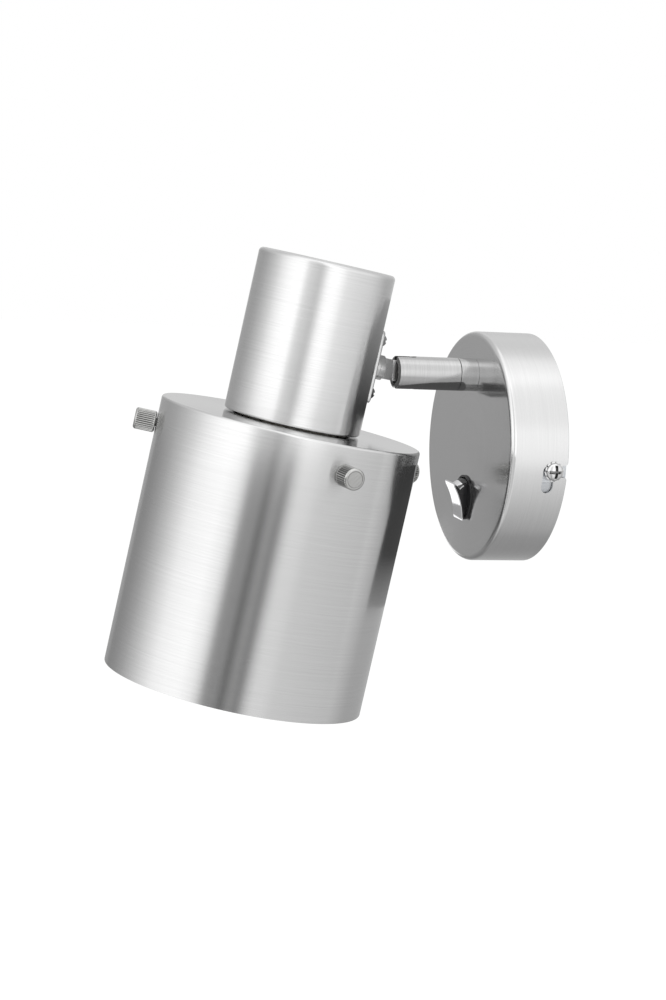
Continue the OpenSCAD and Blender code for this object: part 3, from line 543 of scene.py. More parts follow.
canopy_break = 0.25
canopy_in_r = canopy_r - canopy_wall
canopy_back = canopy_depth - canopy_wall
face_reach = canopy_r - canopy_edge_r - 1
canopy_profile = np.concatenate((
    [(canopy_r - canopy_break, 0), (canopy_r, canopy_break)],
    corner_arc(canopy_r - canopy_edge_r, canopy_depth - canopy_edge_r, canopy_edge_r, 0, 90, 10),
    np.linspace((face_reach, canopy_depth), (0, canopy_depth), 12),
    np.linspace((0, canopy_back), (face_reach, canopy_back), 4),
    corner_arc(canopy_r - canopy_edge_r, canopy_depth - canopy_edge_r, canopy_edge_r - canopy_wall, 90, 0, 6),
    [(canopy_in_r, canopy_break), (canopy_in_r + canopy_break, 0), (canopy_r - canopy_break, 0)]))
canopy = piece("canopy_shell", on_wall(turned(canopy_profile, 256)), finished=False)
hole_low, hole_high = 20, 30
switch_hole = cutter(on_wall(rod(switch_body_r, hole_low, hole_high, 96) + (0, -switch_drop, 0)))
cut(canopy, switch_hole, cutter(side_slot(1)), cutter(side_slot(-1)))
canopy_steel = steel("brushed_canopy", 0.63, 0.71, 0.17, 0.22, lean=math.pi / 2,
                     grain=0.6, relief=0.03, flat=(0.31, 0.63, 0.85))
dress(canopy, canopy_steel, "wall_unit", "canopy")


# Small pressed, turned and moulded pieces keep the solid's own form. Each is a merged copy with its edges
# broken by a fine bevel, as on deburred metal or moulded plastic.
def finished_copy(node, material, body, break_edge, sharp=34):
    """A merged copy of a node's mesh with bevelled edges."""
    made = bpy.data.objects.new(node + "_finished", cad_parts[node].data.copy())
    bpy.context.scene.collection.objects.link(made)
    form = bmesh.new()
    form.from_mesh(made.data)
    bmesh.ops.remove_doubles(form, verts=form.verts, dist=0.002 * MM)
    bmesh.ops.dissolve_limit(form, angle_limit=math.radians(0.6), verts=form.verts, edges=form.edges)
    form.to_mesh(made.data)
    form.free()
    made.data.shade_smooth()
    made.data.set_sharp_from_angle(angle=math.radians(sharp))
    edge = made.modifiers.new("broken edges", "BEVEL")
    edge.width = break_edge * MM
    edge.segments = 3
    edge.limit_method = "ANGLE"
    edge.angle_limit = math.radians(sharp)
    made.modifiers.new("even faces", "WEIGHTED_NORMAL").keep_sharp = True
    dress(made, material, body, node)


def speckle_group():
    """Moulded or glazed surface: two sizes of soft noise vary colour, gloss and height a little."""
    group, given = new_group("moulded skin", "Fine")
    fine = add(group, "TexNoise", {"Vector": given["Vector"], "Scale": given["Fine"], "Detail": 4})
    wide = add(group, "TexNoise", {"Vector": given["Vector"], "Scale": 60, "Detail": 2})
    both = maths(group, "MULTIPLY", fine.outputs["Fac"], wide.outputs["Fac"])
    return put_out(group, given, share_of(group, both, 0.1, 0.42), fine.outputs["Fac"])


moulded_skin = speckle_group()


def moulded(name, dark, light, smooth, rough, fine=900, relief=0.1):
    """Plastic, rubber or ceramic with a faint skin."""
    material, tree, out = new_material(name)
    spot = add(tree, "TexCoord").outputs["Object"]
    skin = add(tree, "Group", {"Vector": spot, "Fine": fine, "Smooth": smooth, "Rough": rough,
                               "Dark": tint(dark), "Light": tint(light)}, node_tree=moulded_skin).outputs
    bump = add(tree, "Bump", {"Height": skin["Height"], "Strength": relief, "Distance": bump_depth})
    coat = add(tree, "BsdfPrincipled", {"Base Color": skin["Color"], "Roughness": skin["Roughness"],
                                        "Normal": bump.outputs[0]})
    tree.links.new(coat.outputs[0], out.inputs["Surface"])
    return material


# Wall bracket and what sits on it: a zinc-plated strap with two slots, a rubber edge guard in the cable
# hole, an earth screw, and a three-way terminal block with brass clamps.
zinc = steel("zinc_steel", (0.46, 0.48, 0.51), (0.66, 0.67, 0.68), 0.30, 0.48, along=90, across=400,
             cloud=120, relief=0.03)
brass = steel("brass_metal", (0.62, 0.43, 0.16), (0.80, 0.60, 0.27), 0.20, 0.34, along=120, across=900,
              cloud=60, relief=0.04)
# Its last value is the strength of painted shade in screw recesses and round screw heads.
bright = steel("bright_steel", 0.62, 0.78, 0.12, 0.22, along=160, across=1600, cloud=90, relief=0.03,
               groove_shade_strength=0.75)
spring = steel("spring_steel", (0.05, 0.05, 0.055), (0.12, 0.12, 0.13), 0.35, 0.5, along=90, across=700,
               cloud=60)
white_plastic = moulded("white_plastic", (0.74, 0.74, 0.72), (0.86, 0.86, 0.84), 0.38, 0.5)
black_plastic = moulded("black_plastic", (0.010, 0.010, 0.011), (0.022, 0.022, 0.024), 0.16, 0.28)
rubber = moulded("rubber", 0.02, 0.05, 0.6, 0.8, relief=0.3)
finished_copy("wall_bracket", zinc, "wall_unit", 0.25)
finished_copy("cable_grommet", rubber, "wall_unit", 0.5)
finished_copy("earth_screw", brass, "wall_unit", 0.12)
finished_copy("terminal_block", white_plastic, "wall_unit", 0.4)
finished_copy("terminal_screws", brass, "wall_unit", 0.1)

# The bracket's tabs spread into curved leaves, which close the hooked slots from inside.
leaf_r = 48.6
leaf_in_r = leaf_r - 0.9
leaf_low, leaf_high = 0.3, 12.2
leaf_foot, leaf_top = -14.5, 2.6
leaf_section = np.array([(leaf_r, leaf_low), (leaf_r, leaf_high), (leaf_in_r, leaf_high),
                         (leaf_in_r, leaf_low), (leaf_r, leaf_low)])
leaf_turn = np.arcsin(np.linspace(leaf_foot, leaf_top, 17) / leaf_r)[:, None]
leaf_turn = np.concatenate((leaf_turn[:1], leaf_turn, leaf_turn[-1:]))
leaf_reach = np.broadcast_to(leaf_section[:, 0], (len(leaf_turn), len(leaf_section))).copy()
leaf_out = np.broadcast_to(leaf_section[:, 1], leaf_reach.shape).copy()
leaf_reach[[0, -1]] = leaf_section[:4, 0].mean()
leaf_out[[0, -1]] = leaf_section[:4, 1].mean()
for side, sign in (("right", 1), ("left", -1)):
    leaf = piece("bracket_leaf_" + side, on_wall(np.stack((
        sign * leaf_reach * np.cos(leaf_turn), leaf_reach * np.sin(leaf_turn), leaf_out), -1)))
    dress(leaf, zinc, "wall_unit")


# Switch: a round black snap-in body with a thin flange, and a chromed rocker with a hollow face.
rocker_chrome = steel("rocker_chrome", (0.78, 0.78, 0.79), (0.90, 0.90, 0.91), 0.04, 0.08, along=40,
                      across=300, cloud=40, relief=0.01)
finished_copy("switch_housing", black_plastic, "wall_unit", 0.2)
finished_copy("switch_contacts", brass, "wall_unit", 0.1)
finished_copy("switch_rocker", black_plastic, "rocker", 0.2)

# A chromed cap wraps the rocker's upper end and its hollow face. Its line runs as (up, out) from the hinge:
# along the ball that turns in the body, out to the ridge, and down the face on a circle of 30 mm.
hinge_out = canopy_depth - 1
rocker_tilt = math.radians(18)
cap_half_w = 5.15
cap_columns = 13
cap_wall = 0.6
ball_r = 8.75
ball_from, ball_to = 13, 33
face_r = 30
face_middle_out = 35.1
face_wall = 0.45
face_up = np.linspace(7.4, -6.7, 17)
face_out = face_middle_out - np.sqrt(face_r ** 2 - face_up ** 2)
ball_line = corner_arc(0, 0, ball_r, ball_from, ball_to)
cap_outer = np.concatenate((ball_line, [(9.0, 5.5), (8.7, 6.0)], np.stack((face_up, face_out), 1),
                            [(-8.2, 5.9)]))
cap_inner = np.concatenate((corner_arc(0, 0, ball_r - cap_wall, ball_from, ball_to), [(8.2, 5.0), (7.9, 5.4)],
                            np.stack((face_up, face_out - face_wall), 1), [(-8.2, 5.3)]))
cap_across = np.linspace(-cap_half_w, cap_half_w, cap_columns)
ball_share = np.sqrt(ball_r ** 2 - cap_across ** 2) / ball_r
cap_rows = []
for place, ends in enumerate(zip(cap_outer, cap_inner)):
    reach = ball_share if place < len(ball_line) else np.ones(cap_columns)
    sides = [np.concatenate((end * reach[:, None], cap_across[:, None]), 1) for end in ends]
    cap_rows.append(np.concatenate((sides[0], sides[1][::-1], sides[0][:1])))
cap_ends = [0 * cap_rows[end] + cap_rows[end].mean(0) for end in (0, -1)]
cap_rows = np.stack([cap_ends[0], *cap_rows, cap_ends[1]])
cap_up = cap_rows[..., 0] * math.cos(rocker_tilt) - cap_rows[..., 1] * math.sin(rocker_tilt)
cap_out = cap_rows[..., 1] * math.cos(rocker_tilt) + cap_rows[..., 0] * math.sin(rocker_tilt)
rocker_cap = piece("rocker_cap", on_wall(np.stack((
    cap_rows[..., 2], cap_up - switch_drop, hinge_out + cap_out), -1)))
dress(rocker_cap, rocker_chrome, "rocker", "switch_rocker")


# Side screws: plated M4 pan heads with a cross recess, each on a toothed lock washer, through the hooked
# slots into the bracket's tabs.
def cross_head(radius, height, recess_w, recess_depth, rings=40, steps=128):
    """A domed head over (x, y): z = height * sqrt(1 - (r / radius)^2), less a cross-shaped recess whose
    walls slope over a short distance, closed by a flat back. It comes with a mask for painted shade: how
    deep each point lies in the recess, and a painted shadow ring at the foot of the dome."""
    wall_from, wall_run = 1.25, 0.35
    arm_l = radius * 0.62
    a = np.linspace(0, 2 * np.pi, steps + 1)[None, :]
    r = radius * np.sin(np.linspace(0, np.pi / 2, rings + 1))[::-1, None]
    x, y = r * np.cos(a), r * np.sin(a)
    dome = height * np.sqrt(np.clip(1 - (r / radius) ** 2, 0, 1)) + 0 * a
    arm = np.minimum(np.maximum(np.abs(x) * 2 / recess_w, np.abs(y) / arm_l),
                     np.maximum(np.abs(y) * 2 / recess_w, np.abs(x) / arm_l))
    sink = np.clip((wall_from - arm) / wall_run, 0, 1)
    form = np.concatenate((np.stack((0 * x, 0 * y, 0 * dome), -1)[:1],
                           np.stack((x, y, dome - recess_depth * sink), -1)))
    # Painted shadow: a dark ring round the foot of the dome, where the head sits on its washer or plate.
    foot_from, foot_run, foot_shade_strength = 0.94, 0.04, 0.7
    foot_shade = foot_shade_strength * np.clip((r / radius - foot_from) / foot_run, 0, 1)
    return form, np.concatenate((0 * sink[:1], np.maximum(sink, foot_shade)))


def threaded(radius, depth, pitch, low, high, steps=48, per_turn=10, start=0.8):
    """A screw thread: the radius falls by `depth` in a rounded groove that climbs one pitch each turn,
    r = radius - depth * (1 + cos(2 pi (h / pitch - a / 2 pi))) / 2, with plain tapered ends."""
    rows = max(4, int((high - low) / pitch * per_turn))
    h = np.linspace(low, high, rows + 1)
    profile = np.concatenate(([(0, low), (radius - depth, low)], np.stack((np.full(rows + 1, radius), h), 1),
                              [(radius - depth, high), (0, high)]))

    def groove(r, height, a):
        wave = (1 + np.cos(2 * np.pi * (height / pitch) - a)) / 2
        fade = np.clip(np.minimum(height - low, high - height) / start, 0, 1)
        return np.where(r >= radius, radius - depth * (1 - fade * (1 - wave)), r)
    return turned(profile, steps, groove)


side_screw_out = 6.3


def at_side(p, sign):
    """Z outwards through the canopy's side at the slot."""
    return np.stack((sign * (p[..., 2] + canopy_r), -side_screw_out - p[..., 0] * sign,
                     slot_drop + p[..., 1]), -1)


side_washer_t = 0.8
washer_in_r, washer_r = 2.1, 4.3
tooth_root_r, tooth_l, tooth_count = 3.4, 1.0, 12
for side, sign in (("right", 1), ("left", -1)):
    # The head's mask paints shade in the cross recess and a shadow round the head's foot.
    head, recess_shade = cross_head(radius=3.8, height=2.4, recess_w=0.95, recess_depth=1.5)
    shank = threaded(radius=2, depth=0.3, pitch=0.7, low=-6.2, high=side_washer_t)
    screw = piece("side_screw_" + side, at_side(head + (0, 0, side_washer_t), sign), at_side(shank, sign),
                  hollow=recess_shade)
    dress(screw, bright, "wall_unit", "canopy_screws")
    outline = eased([(washer_in_r, 0), (washer_r, 0), (washer_r, side_washer_t),
                     (washer_in_r, side_washer_t)], 0.12, 3)
    washer = piece("toothed_washer_" + side, at_side(turned(
        outline, 144, lambda r, h, a: np.where(
            r > tooth_root_r, r - tooth_l * (np.sin(tooth_count * a + 2 * h) > 0.25), r)), sign))
    dress(washer, bright, "wall_unit", "canopy_washers")


# Collar and arm: turned steel tubes of the same diameter. The collar is screwed through the canopy's face
# and held by a washer and a hexagon nut; the arm's spigot turns in it behind a spring clip.
arm_rise = 31.2
arm_r = 7.1
collar_length = 8
collar_end = canopy_depth + collar_length
arm_start = collar_end + 0.15
arm_end = collar_end + 28.5
pivot_out = arm_end - 4.2


def on_arm(p):
    """Points of (right, up, out) about the arm's axis."""
    return on_wall(p + np.array((0, arm_rise, 0)))


collar_thread_l = 7.8
collar_low = canopy_depth - collar_thread_l
collar_bore_r = 4.25
collar_neck_r = 5.6
arm_steel = steel("brushed_arm", 0.46, 0.58, 0.14, 0.20, centre=(0, 0, arm_rise), lean=math.pi / 2, along=60,
                  across=4200, cloud=40, grain=0.3, relief=0.02)
collar_outline = eased([
    (collar_bore_r, collar_low), (collar_neck_r, collar_low), (collar_neck_r, canopy_depth),
    (arm_r, canopy_depth), (arm_r, collar_end), (collar_bore_r, collar_end)],
    (0.2, 0.3, 0.05, 0.15, 0.3, 0.2), 4)
collar_thread = threaded(radius=6, depth=0.4, pitch=1.0, low=collar_low + 0.3, high=canopy_depth - 0.1,
                         steps=64)
collar = piece("collar", on_arm(turned(collar_outline, 128)), on_arm(collar_thread[2:-2]))
dress(collar, arm_steel, "wall_unit", "arm_collar")
finished_copy("collar_washer", zinc, "wall_unit", 0.15)
finished_copy("collar_nut", brass, "wall_unit", 0.3)

arm_in_r = 4.7
wire_bore_r = 2.7
spigot_r = 4.2
spigot_end = collar_low - 2.0
clip_groove_r = 3.6
clip_low = spigot_end + 0.95
clip_high = spigot_end + 1.85
hollow_end = arm_start + 4
arm_outline = eased([
    (wire_bore_r, spigot_end), (spigot_r, spigot_end), (spigot_r, clip_low), (clip_groove_r, clip_low),
    (clip_groove_r, clip_high), (spigot_r, clip_high), (spigot_r, arm_start), (arm_r, arm_start),
    (arm_r, arm_end), (arm_in_r, arm_end), (arm_in_r, hollow_end), (wire_bore_r, hollow_end)],
    (0.2, 0.3, 0.1, 0.1, 0.1, 0.1, 0.05, 0.3, 0.6, 0.3, 0.3, 0.2), 4)
arm = piece("arm_tube_turned", on_arm(turned(arm_outline, 160)), finished=False)
slot_end = arm_end - 7.5
slot_half = 1.6
past_arm = 9
slot_outline = np.array([(-1, -1), (1, -1), (1, 1), (-1, 1), (-1, -1)]) * (slot_half, past_arm)
slot_block = cutter(on_arm(drawn_out(slot_outline, slot_end, arm_end + 1)))
relief_r = 1.9
relief = rod(relief_r, -past_arm, past_arm)
relief_cut = cutter(on_arm(np.stack((relief[..., 0], relief[..., 2], slot_end + relief[..., 1]), -1)))
head_hole_r = 2.65
pin_hole_r = 1.55
pin_low = -arm_r + 1.7
pin_high = arm_r - 0.8
pivot_hole = turned([(0, -8), (head_hole_r, -8), (head_hole_r, pin_low), (pin_hole_r, pin_low),
                     (pin_hole_r, pin_high), (0, pin_high)], 48)
pivot_cut = cutter(on_arm(np.stack(
    (pivot_hole[..., 2], pivot_hole[..., 1], pivot_out + pivot_hole[..., 0]), -1)))
cut(arm, slot_block, relief_cut, pivot_cut)
dress(arm, arm_steel, "arm", "arm_tube")
finished_copy("arm_clip", spring, "arm", 0.1)
finished_copy("knuckle_screw", bright, "arm", 0.12)
finished_copy("knuckle_bushes", white_plastic, "arm", 0.1)


# Knuckle: a tongue that turns in the arm's slotted end, its flange, a washer and the flat plate on the
# tube's back with two cross-head screws.
turned_steel = steel("turned_steel", 0.66, 0.78, 0.24, 0.34, along=110, across=2600, cloud=60)
finished_copy("knuckle_stud", turned_steel, "head", 0.25)
finished_copy("knuckle_washer", turned_steel, "head", 0.2)
finished_copy("stud_nut", brass, "head", 0.3)

tube_r = 29.5
neck_reach = tube_r + 15.2
rest_tilt = math.radians(9.3)


def in_head(p):
    """Points about the head's axis, +Y towards the wall and Z up the axis, turned to the resting tilt."""
    x, y, z = p[..., 0], p[..., 1] - neck_reach, p[..., 2]
    return np.stack((x, -pivot_out + y * math.cos(rest_tilt) + z * math.sin(rest_tilt),
                     arm_rise - y * math.sin(rest_tilt) + z * math.cos(rest_tilt)), -1)


head_centre = in_head(np.array((0.0, 0.0, 0.0)))
plate_face = tube_r + 1.2
plate_half_w = 5.6
plate_half_h = 15.7


def saddle(outline, rows):
    """A plate with a hollow back: rows of (share of the outline's reach, drop below the face), where no
    drop stands for the back, y = sqrt(r^2 - x^2), which follows the tube."""
    outline = np.asarray(outline, float)
    made = []
    for share, drop in rows:
        x, z = outline.T * share
        back = np.sqrt(tube_r ** 2 - x ** 2) + 0.01
        made.append(np.stack((x, back if drop is None else 0 * x + plate_face - drop, z), -1))
    return np.stack(made)


plate_outline = eased(np.array([(-1, -1), (1, -1), (1, 1), (-1, 1)]) * (plate_half_w, plate_half_h), 2.2, 8)
plate = piece("saddle_plate", in_head(saddle(plate_outline, [
    (0, 0), (0.5, 0), (0.955, 0), (0.98, 0.06), (0.995, 0.2), (1, 0.4), (1, 0.8),
    (1, None), (0.5, None), (0, None)])),
    finished=False)


def along_back(p, rise=0.0):
    """Z outwards through the tube's back, towards the wall."""
    return in_head(np.stack((p[..., 0], p[..., 2], rise - p[..., 1]), -1))


plate_screw_rise = 11.5
drill_low, drill_high = 25, 35
for hole_r, rise in ((4.05, 0), (1.55, plate_screw_rise), (1.55, -plate_screw_rise)):
    cut(plate, cutter(along_back(rod(hole_r, drill_low, drill_high), rise)))
dress(plate, turned_steel, "head", "mounting_plate")
for spot, rise in (("upper", plate_screw_rise), ("lower", -plate_screw_rise)):
    # The head's mask paints shade in the cross recess and a shadow round the head's foot.
    head, recess_shade = cross_head(radius=2.9, height=3.0, recess_w=0.8, recess_depth=1.6)
    shank = threaded(radius=1.5, depth=0.25, pitch=0.5, low=plate_face - 7, high=plate_face)
    screw = piece("plate_screw_" + spot, along_back(head + (0, 0, plate_face), rise), along_back(shank, rise),
                  hollow=recess_shade)
    dress(screw, bright, "head", "plate_screws")


# Tube: a closed cup of 0.8 mm steel with a rounded top edge and its lower edge turned in.
tube_rise = 39.4
tube_drop = 29.7
tube_foot = tube_drop + 0.5
tube_wall = 0.8
tube_edge_r = 1.8
lip_r = 1.1
lip_in_r = 25.6
tube_profile = np.concatenate((
    [(lip_in_r + 0.2, -tube_foot)],
    corner_arc(tube_r - lip_r, lip_r - tube_foot, lip_r, -90, 0, 10),
    corner_arc(tube_r - tube_edge_r, tube_rise - tube_edge_r, tube_edge_r, 0, 90, 10),
    np.linspace((tube_r - tube_edge_r - 0.6, tube_rise), (0, tube_rise), 10),
    [(0, tube_rise - tube_wall)],
    corner_arc(tube_r - tube_edge_r, tube_rise - tube_edge_r, tube_edge_r - tube_wall, 90, 0, 6),
    corner_arc(tube_r - lip_r, lip_r - tube_foot, lip_r - tube_wall, 0, -90, 6),
    [(lip_in_r, tube_wall - tube_foot), (lip_in_r - 0.1, tube_wall / 2 - tube_foot),
     (lip_in_r + 0.2, -tube_foot)]))
tube_steel = steel("brushed_tube", 0.63, 0.71, 0.22, 0.28, centre=head_centre,
                   lean=rest_tilt, grain=0.88, relief=0.03)
tube = piece("tube_shell", in_head(turned(tube_profile, 256)))
dress(tube, tube_steel, "head", "tube_housing")


# Lampholder: a zinc angle carries a threaded nipple with two nuts, an ivory cap, a ceramic core with its
# contacts, an ivory skirt threaded outside, a brass screw shell, and two ring nuts that clamp the shade.
ivory = moulded("ivory_plastic", (0.74, 0.70, 0.60), (0.84, 0.80, 0.71), 0.24, 0.36)
ceramic = moulded("ceramic", (0.84, 0.83, 0.79), (0.92, 0.91, 0.88), 0.16, 0.26, relief=0.04)
finished_copy("holder_bracket", zinc, "head", 0.2)
finished_copy("nipple_nuts", zinc, "head", 0.3)
finished_copy("holder_core", ceramic, "head", 0.3)
finished_copy("centre_contact", brass, "head", 0.12)
finished_copy("contact_screws", bright, "head", 0.15)
finished_copy("holder_cap", ivory, "head", 0.4)


def thread_wave(pitch, depth, low, high, inner, outer):
    """Moves radii between inner and outer by a rounded groove that climbs one pitch each turn."""
    def wave(r, h, a):
        fade = np.clip(np.minimum(h - low, high - h) / pitch, 0, 1)
        rise = depth * fade * (np.cos(2 * np.pi * h / pitch - a) - 1) / 2
        return np.where((r > inner) & (r < outer), r + rise, r)
    return wave


nipple_r = 5.0
nipple_in_r = 3.2
nipple_low, nipple_high = 15, 33
nipple_profile = np.concatenate((np.linspace((nipple_r, nipple_low), (nipple_r, nipple_high), 91), [
    (nipple_in_r, nipple_high), (nipple_in_r, nipple_low), (nipple_r, nipple_low)]))
nipple = piece("threaded_nipple", in_head(turned(nipple_profile, 64, thread_wave(
    1.0, 0.45, nipple_low, nipple_high, nipple_r - 0.1, nipple_r + 0.1))))
dress(nipple, brass, "head", "holder_nipple")

skirt_r = 19.5
skirt_low = -44
core_r = 17.3
shell_r = 13.3
core_low = -14
skirt_top = -4
skirt_in_r = skirt_r - 2.2
web_low = core_low - 2
web_in_r = shell_r + 0.7
skirt_profile = np.concatenate((np.linspace((skirt_r, skirt_low), (skirt_r, skirt_top), 161), [
    (core_r + 0.2, skirt_top), (core_r + 0.2, core_low), (web_in_r, core_low), (web_in_r, web_low),
    (skirt_in_r, web_low), (skirt_in_r, skirt_low), (skirt_r, skirt_low)]))
skirt = piece("threaded_skirt", in_head(turned(skirt_profile, 128, thread_wave(
    2.5, 0.9, skirt_low, -10, skirt_r - 0.1, skirt_r + 0.1))), sharp=50)
dress(skirt, ivory, "head", "holder_skirt")

shell_top = -14
shell_wall = 0.5
shell_bore_top = shell_top - 2 * shell_wall
shell_length = 22
shell_low = shell_bore_top - shell_length
shell_pitch = 3.63
shell_thread = 0.5
shell_rows = 121
shell_in_r = shell_r + 0.05
shell_out_r = shell_r + shell_wall
shell_profile = np.concatenate((
    np.linspace((shell_in_r, shell_bore_top), (shell_in_r, shell_low), shell_rows),
    np.linspace((shell_out_r, shell_low), (shell_out_r, shell_top), shell_rows),
    [(8, shell_top), (8, shell_top - shell_wall), (shell_r - shell_wall, shell_top - shell_wall),
     (shell_in_r, shell_bore_top)]))
shell = piece("rolled_shell", in_head(turned(shell_profile, 128, thread_wave(
    shell_pitch, shell_thread, shell_low - shell_pitch, shell_bore_top, shell_r, shell_r + 1))), sharp=50)
dress(shell, brass, "head", "screw_shell")

ring_r = 24
ring_in_r = skirt_r + 0.03
ring_t = 3
carrier_top = -tube_drop - 1 - 0.9
for spot, low, thick in (("upper", carrier_top, 1.6), ("lower", carrier_top - 1.5 - ring_t, ring_t)):
    high = low + thick
    outline = eased([(ring_in_r, low), (ring_r, low), (ring_r, high), (ring_in_r, high)], 0.35, 3)
    grip = turned(outline, 288, lambda r, h, a: np.where(
        r > ring_r - 0.5, r - 0.35 * (1 + np.sin(48 * a)) / 2, r))
    ring_nut = piece("ring_nut_" + spot, in_head(grip), sharp=50)
    dress(ring_nut, ivory, "head", "shade_rings")


# Shade: a larger cup of 0.9 mm steel, closed on top but for the lampholder's hole and open below, on a
# zinc spider with a bent tab behind each thumbscrew.
shade_r = 56.25
shade_top = -tube_drop - 1
shade_low = shade_top - 116.5
shade_wall = 0.9
shade_edge_r = 1.1
thumb_z = shade_top - 12.2
thumb_angles = {"left": -15, "front": 99, "back": 190}
shade_hole_r = 24.8
shade_in_r = shade_r - shade_wall
shade_back = shade_top - shade_wall
top_reach = shade_r - shade_edge_r - 1
rim_up, rim_round, rim_low = 0.3, 0.06, 0.08
shade_profile = np.concatenate((
    [(shade_r - rim_up, shade_low), (shade_r - rim_round, shade_low + rim_low),
     (shade_r, shade_low + rim_up)],
    np.linspace((shade_r, shade_low + 4), (shade_r, shade_top - 4), 24),
    corner_arc(shade_r - shade_edge_r, shade_top - shade_edge_r, shade_edge_r, 0, 90, 8),
    np.linspace((top_reach, shade_top), (shade_hole_r, shade_top), 14),
    np.linspace((shade_hole_r, shade_back), (top_reach, shade_back), 4),
    corner_arc(shade_r - shade_edge_r, shade_top - shade_edge_r, shade_edge_r - shade_wall, 90, 0, 4),
    [(shade_in_r, shade_low + rim_up), (shade_in_r + rim_round, shade_low + rim_low),
     (shade_r - 2 * rim_up, shade_low), (shade_r - rim_up, shade_low)]))
shade = piece("shade_shell", in_head(turned(shade_profile, 320)), finished=False)


def at_thumb(p, angle):
    """Z outwards along a thumbscrew, on the shade's side."""
    turn = math.radians(angle - 90)
    x, y = p[..., 2], p[..., 1]
    return in_head(np.stack((x * math.cos(turn) - y * math.sin(turn), x * math.sin(turn) + y * math.cos(turn),
                             thumb_z - p[..., 0]), -1))


thumb_hole_r = 2.4
cut_from, cut_to = 50, 60
cut(shade, *[cutter(at_thumb(rod(thumb_hole_r, cut_from, cut_to), angle)) for angle in thumb_angles.values()])
shade_steel = steel("brushed_shade", 0.63, 0.71, 0.22, 0.28, centre=head_centre,
                    lean=rest_tilt, along=16, across=2600, grain=0.88, relief=0.03, flat=(0.56, 0.79, 0.4))
dress(shade, shade_steel, "head", "shade")
finished_copy("shade_carrier", zinc, "head", 0.2)


# Thumbscrews: turned heads with a fine straight knurl and a plain end face, on M4 threads through the
# shade into the spider's tabs.
thumb_r = 4.6
thumb_l = 9.2
knurl_count = 30
# Its last value is the strength of painted shade in the knurl's grooves.
knurl_steel = steel("knurled_steel", (0.44, 0.44, 0.43), (0.58, 0.58, 0.57), 0.18, 0.28, along=200,
                    across=1500, cloud=90, groove_shade_strength=0.85)


def knurl_groove(r, h, a):
    """How far down a V-shaped groove a point lies, 0 to 1: a triangle wave round the head's middle band."""
    band = np.clip((h - 0.7) / 0.3, 0, 1) * np.clip((thumb_l - 0.8 - h) / 0.3, 0, 1)
    return band * np.abs(np.mod(a * knurl_count / (2 * np.pi), 1) * 2 - 1) * (r > thumb_r - 0.1)


thumb_face = thumb_l - 0.16
thumb_profile = np.array([
    (0, 0), (thumb_r - 0.9, 0), (thumb_r - 0.55, 0.12), (thumb_r - 0.05, 0.6), (thumb_r, 0.75),
    (thumb_r, 1.1), (thumb_r, 4.5), (thumb_r, thumb_l - 1.15), (thumb_r, thumb_l - 0.85),
    (thumb_r - 0.05, thumb_l - 0.7), (thumb_r - 0.35, thumb_l - 0.3), (thumb_r - 0.65, thumb_l - 0.06),
    (thumb_r - 0.9, thumb_l), (thumb_r - 1.15, thumb_l - 0.06), (thumb_r - 1.25, thumb_face),
    (thumb_r - 1.4, thumb_face), (2.2, thumb_face), (0.6, thumb_face), (0, thumb_face)])
knurl_steps = knurl_count * 6
knurl_depth = 0.38
thumb_form = turned(thumb_profile, knurl_steps, lambda r, h, a: r - knurl_depth * knurl_groove(r, h, a))
# Painted shade: a mask of the knurl's grooves, and a dark ring at the step round the end face.
thumb_groove_shade = knurl_groove(*thumb_profile.T[..., None], np.linspace(0, 2 * np.pi, knurl_steps + 1))
thumb_groove_shade += np.isclose(thumb_profile[:, :1], thumb_r - 1.25)
for spot, angle in thumb_angles.items():
    lift = np.array((0, 0, shade_r + 0.15))
    thumb = piece("thumbscrew_head_" + spot, at_thumb(thumb_form + lift, angle),
                  at_thumb(threaded(radius=2, depth=0.3, pitch=0.7, low=-8.5, high=0) + lift, angle),
                  hollow=thumb_groove_shade, sharp=28)
    dress(thumb, knurl_steel, "thumbscrew_" + spot, "thumbscrew_" + spot)


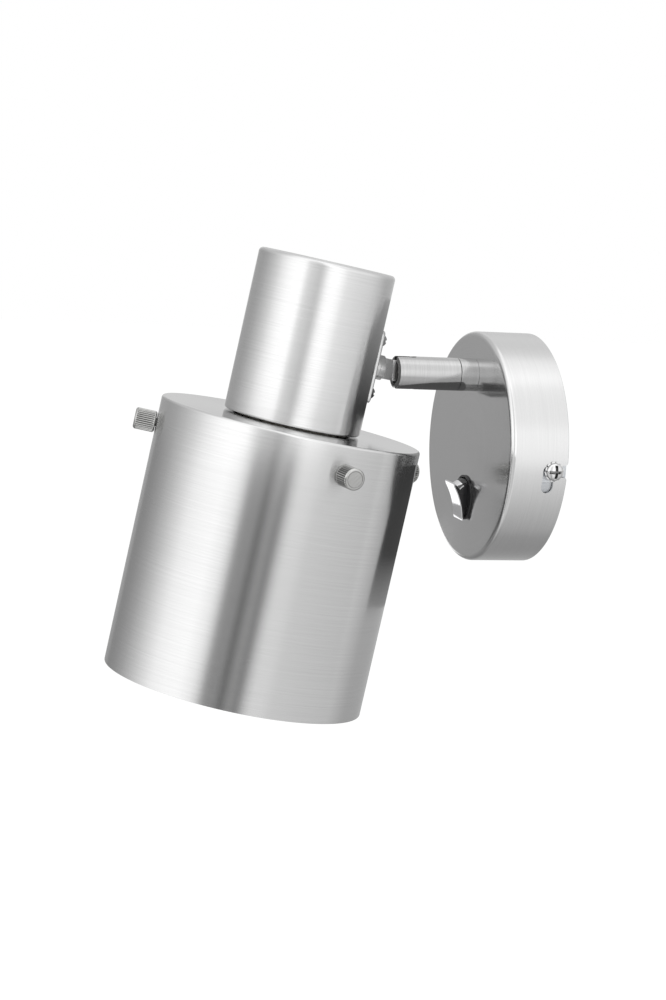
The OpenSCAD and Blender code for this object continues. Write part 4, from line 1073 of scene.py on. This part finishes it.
# Leads: brown-insulated wires from the terminal block to the arm and the switch, and from the knuckle up
# into the nipple.
def smooth_route(stops, steps=12):
    """A curve through the middles of a route's stretches, each corner a quadratic curve."""
    stops = np.asarray(stops, float)
    middle = (stops[:-1] + stops[1:]) / 2
    t = np.linspace(0, 1, steps, endpoint=False)[None, :, None]
    bends = (1 - t) ** 2 * middle[:-1, None] + 2 * t * (1 - t) * stops[1:-1, None] + t ** 2 * middle[1:, None]
    return np.concatenate((stops[:1], bends.reshape(-1, 3), middle[-1:], stops[-1:]))


def wire(route, radius=0.8, sides=20):
    """A round section carried along a route: at each point two directions square to the route's heading
    carry a circle, and the ends are closed by rows at the centre."""
    heading = np.gradient(route, axis=0)
    heading /= np.linalg.norm(heading, axis=1, keepdims=True)
    across = np.cross(heading, (0.2, 0.5, 0.1))
    across /= np.linalg.norm(across, axis=1, keepdims=True)
    other = np.cross(heading, across)
    a = np.linspace(0, 2 * np.pi, sides + 1)[None, :, None]
    rim = route[:, None] + radius * (np.cos(a) * across[:, None] + np.sin(a) * other[:, None])
    ends = [np.broadcast_to(route[i], rim[:1].shape) for i in (0, -1)]
    return np.concatenate((ends[0], rim, ends[1]))


insulation = moulded("lead_insulation", (0.16, 0.07, 0.03), (0.24, 0.12, 0.06), 0.28, 0.42)
arm_lead = [(-1.2, 31.2, 17), (-1.2, 31.2, 14), (-3, 30, 9), (-10, 25, 7), (-21, 17, 7), (-29, 9, 6),
            (-28, 5.3, 5.7), (-23.8, 5.3, 5.7)]
switch_lead = [(-4.8, -22.8, 8), (-4.8, -22.8, 4), (-9, -21, 3), (-20, -20.5, 3.5), (-28, -17, 5),
               (-30, -12, 5.7), (-27, -11.1, 5.7), (-23.8, -11.1, 5.7)]
head_lead = [(2.7, 22.5, 0), (2.7, 21, 1), (4, 20.8, 8), (9.6, 20, 17), (10.6, 16, 26), (9.8, 12, 33),
             (4, 5, 36.5), (1.3, 0.5, 36), (1.2, 0, 29)]
canopy_wires = piece("canopy_wires", *[on_wall(wire(smooth_route(lead))) for lead in (arm_lead, switch_lead)])
dress(canopy_wires, insulation, "wall_unit", "canopy_leads")
head_wire = piece("head_wire", in_head(wire(smooth_route(head_lead))))
dress(head_wire, insulation, "head", "head_leads")
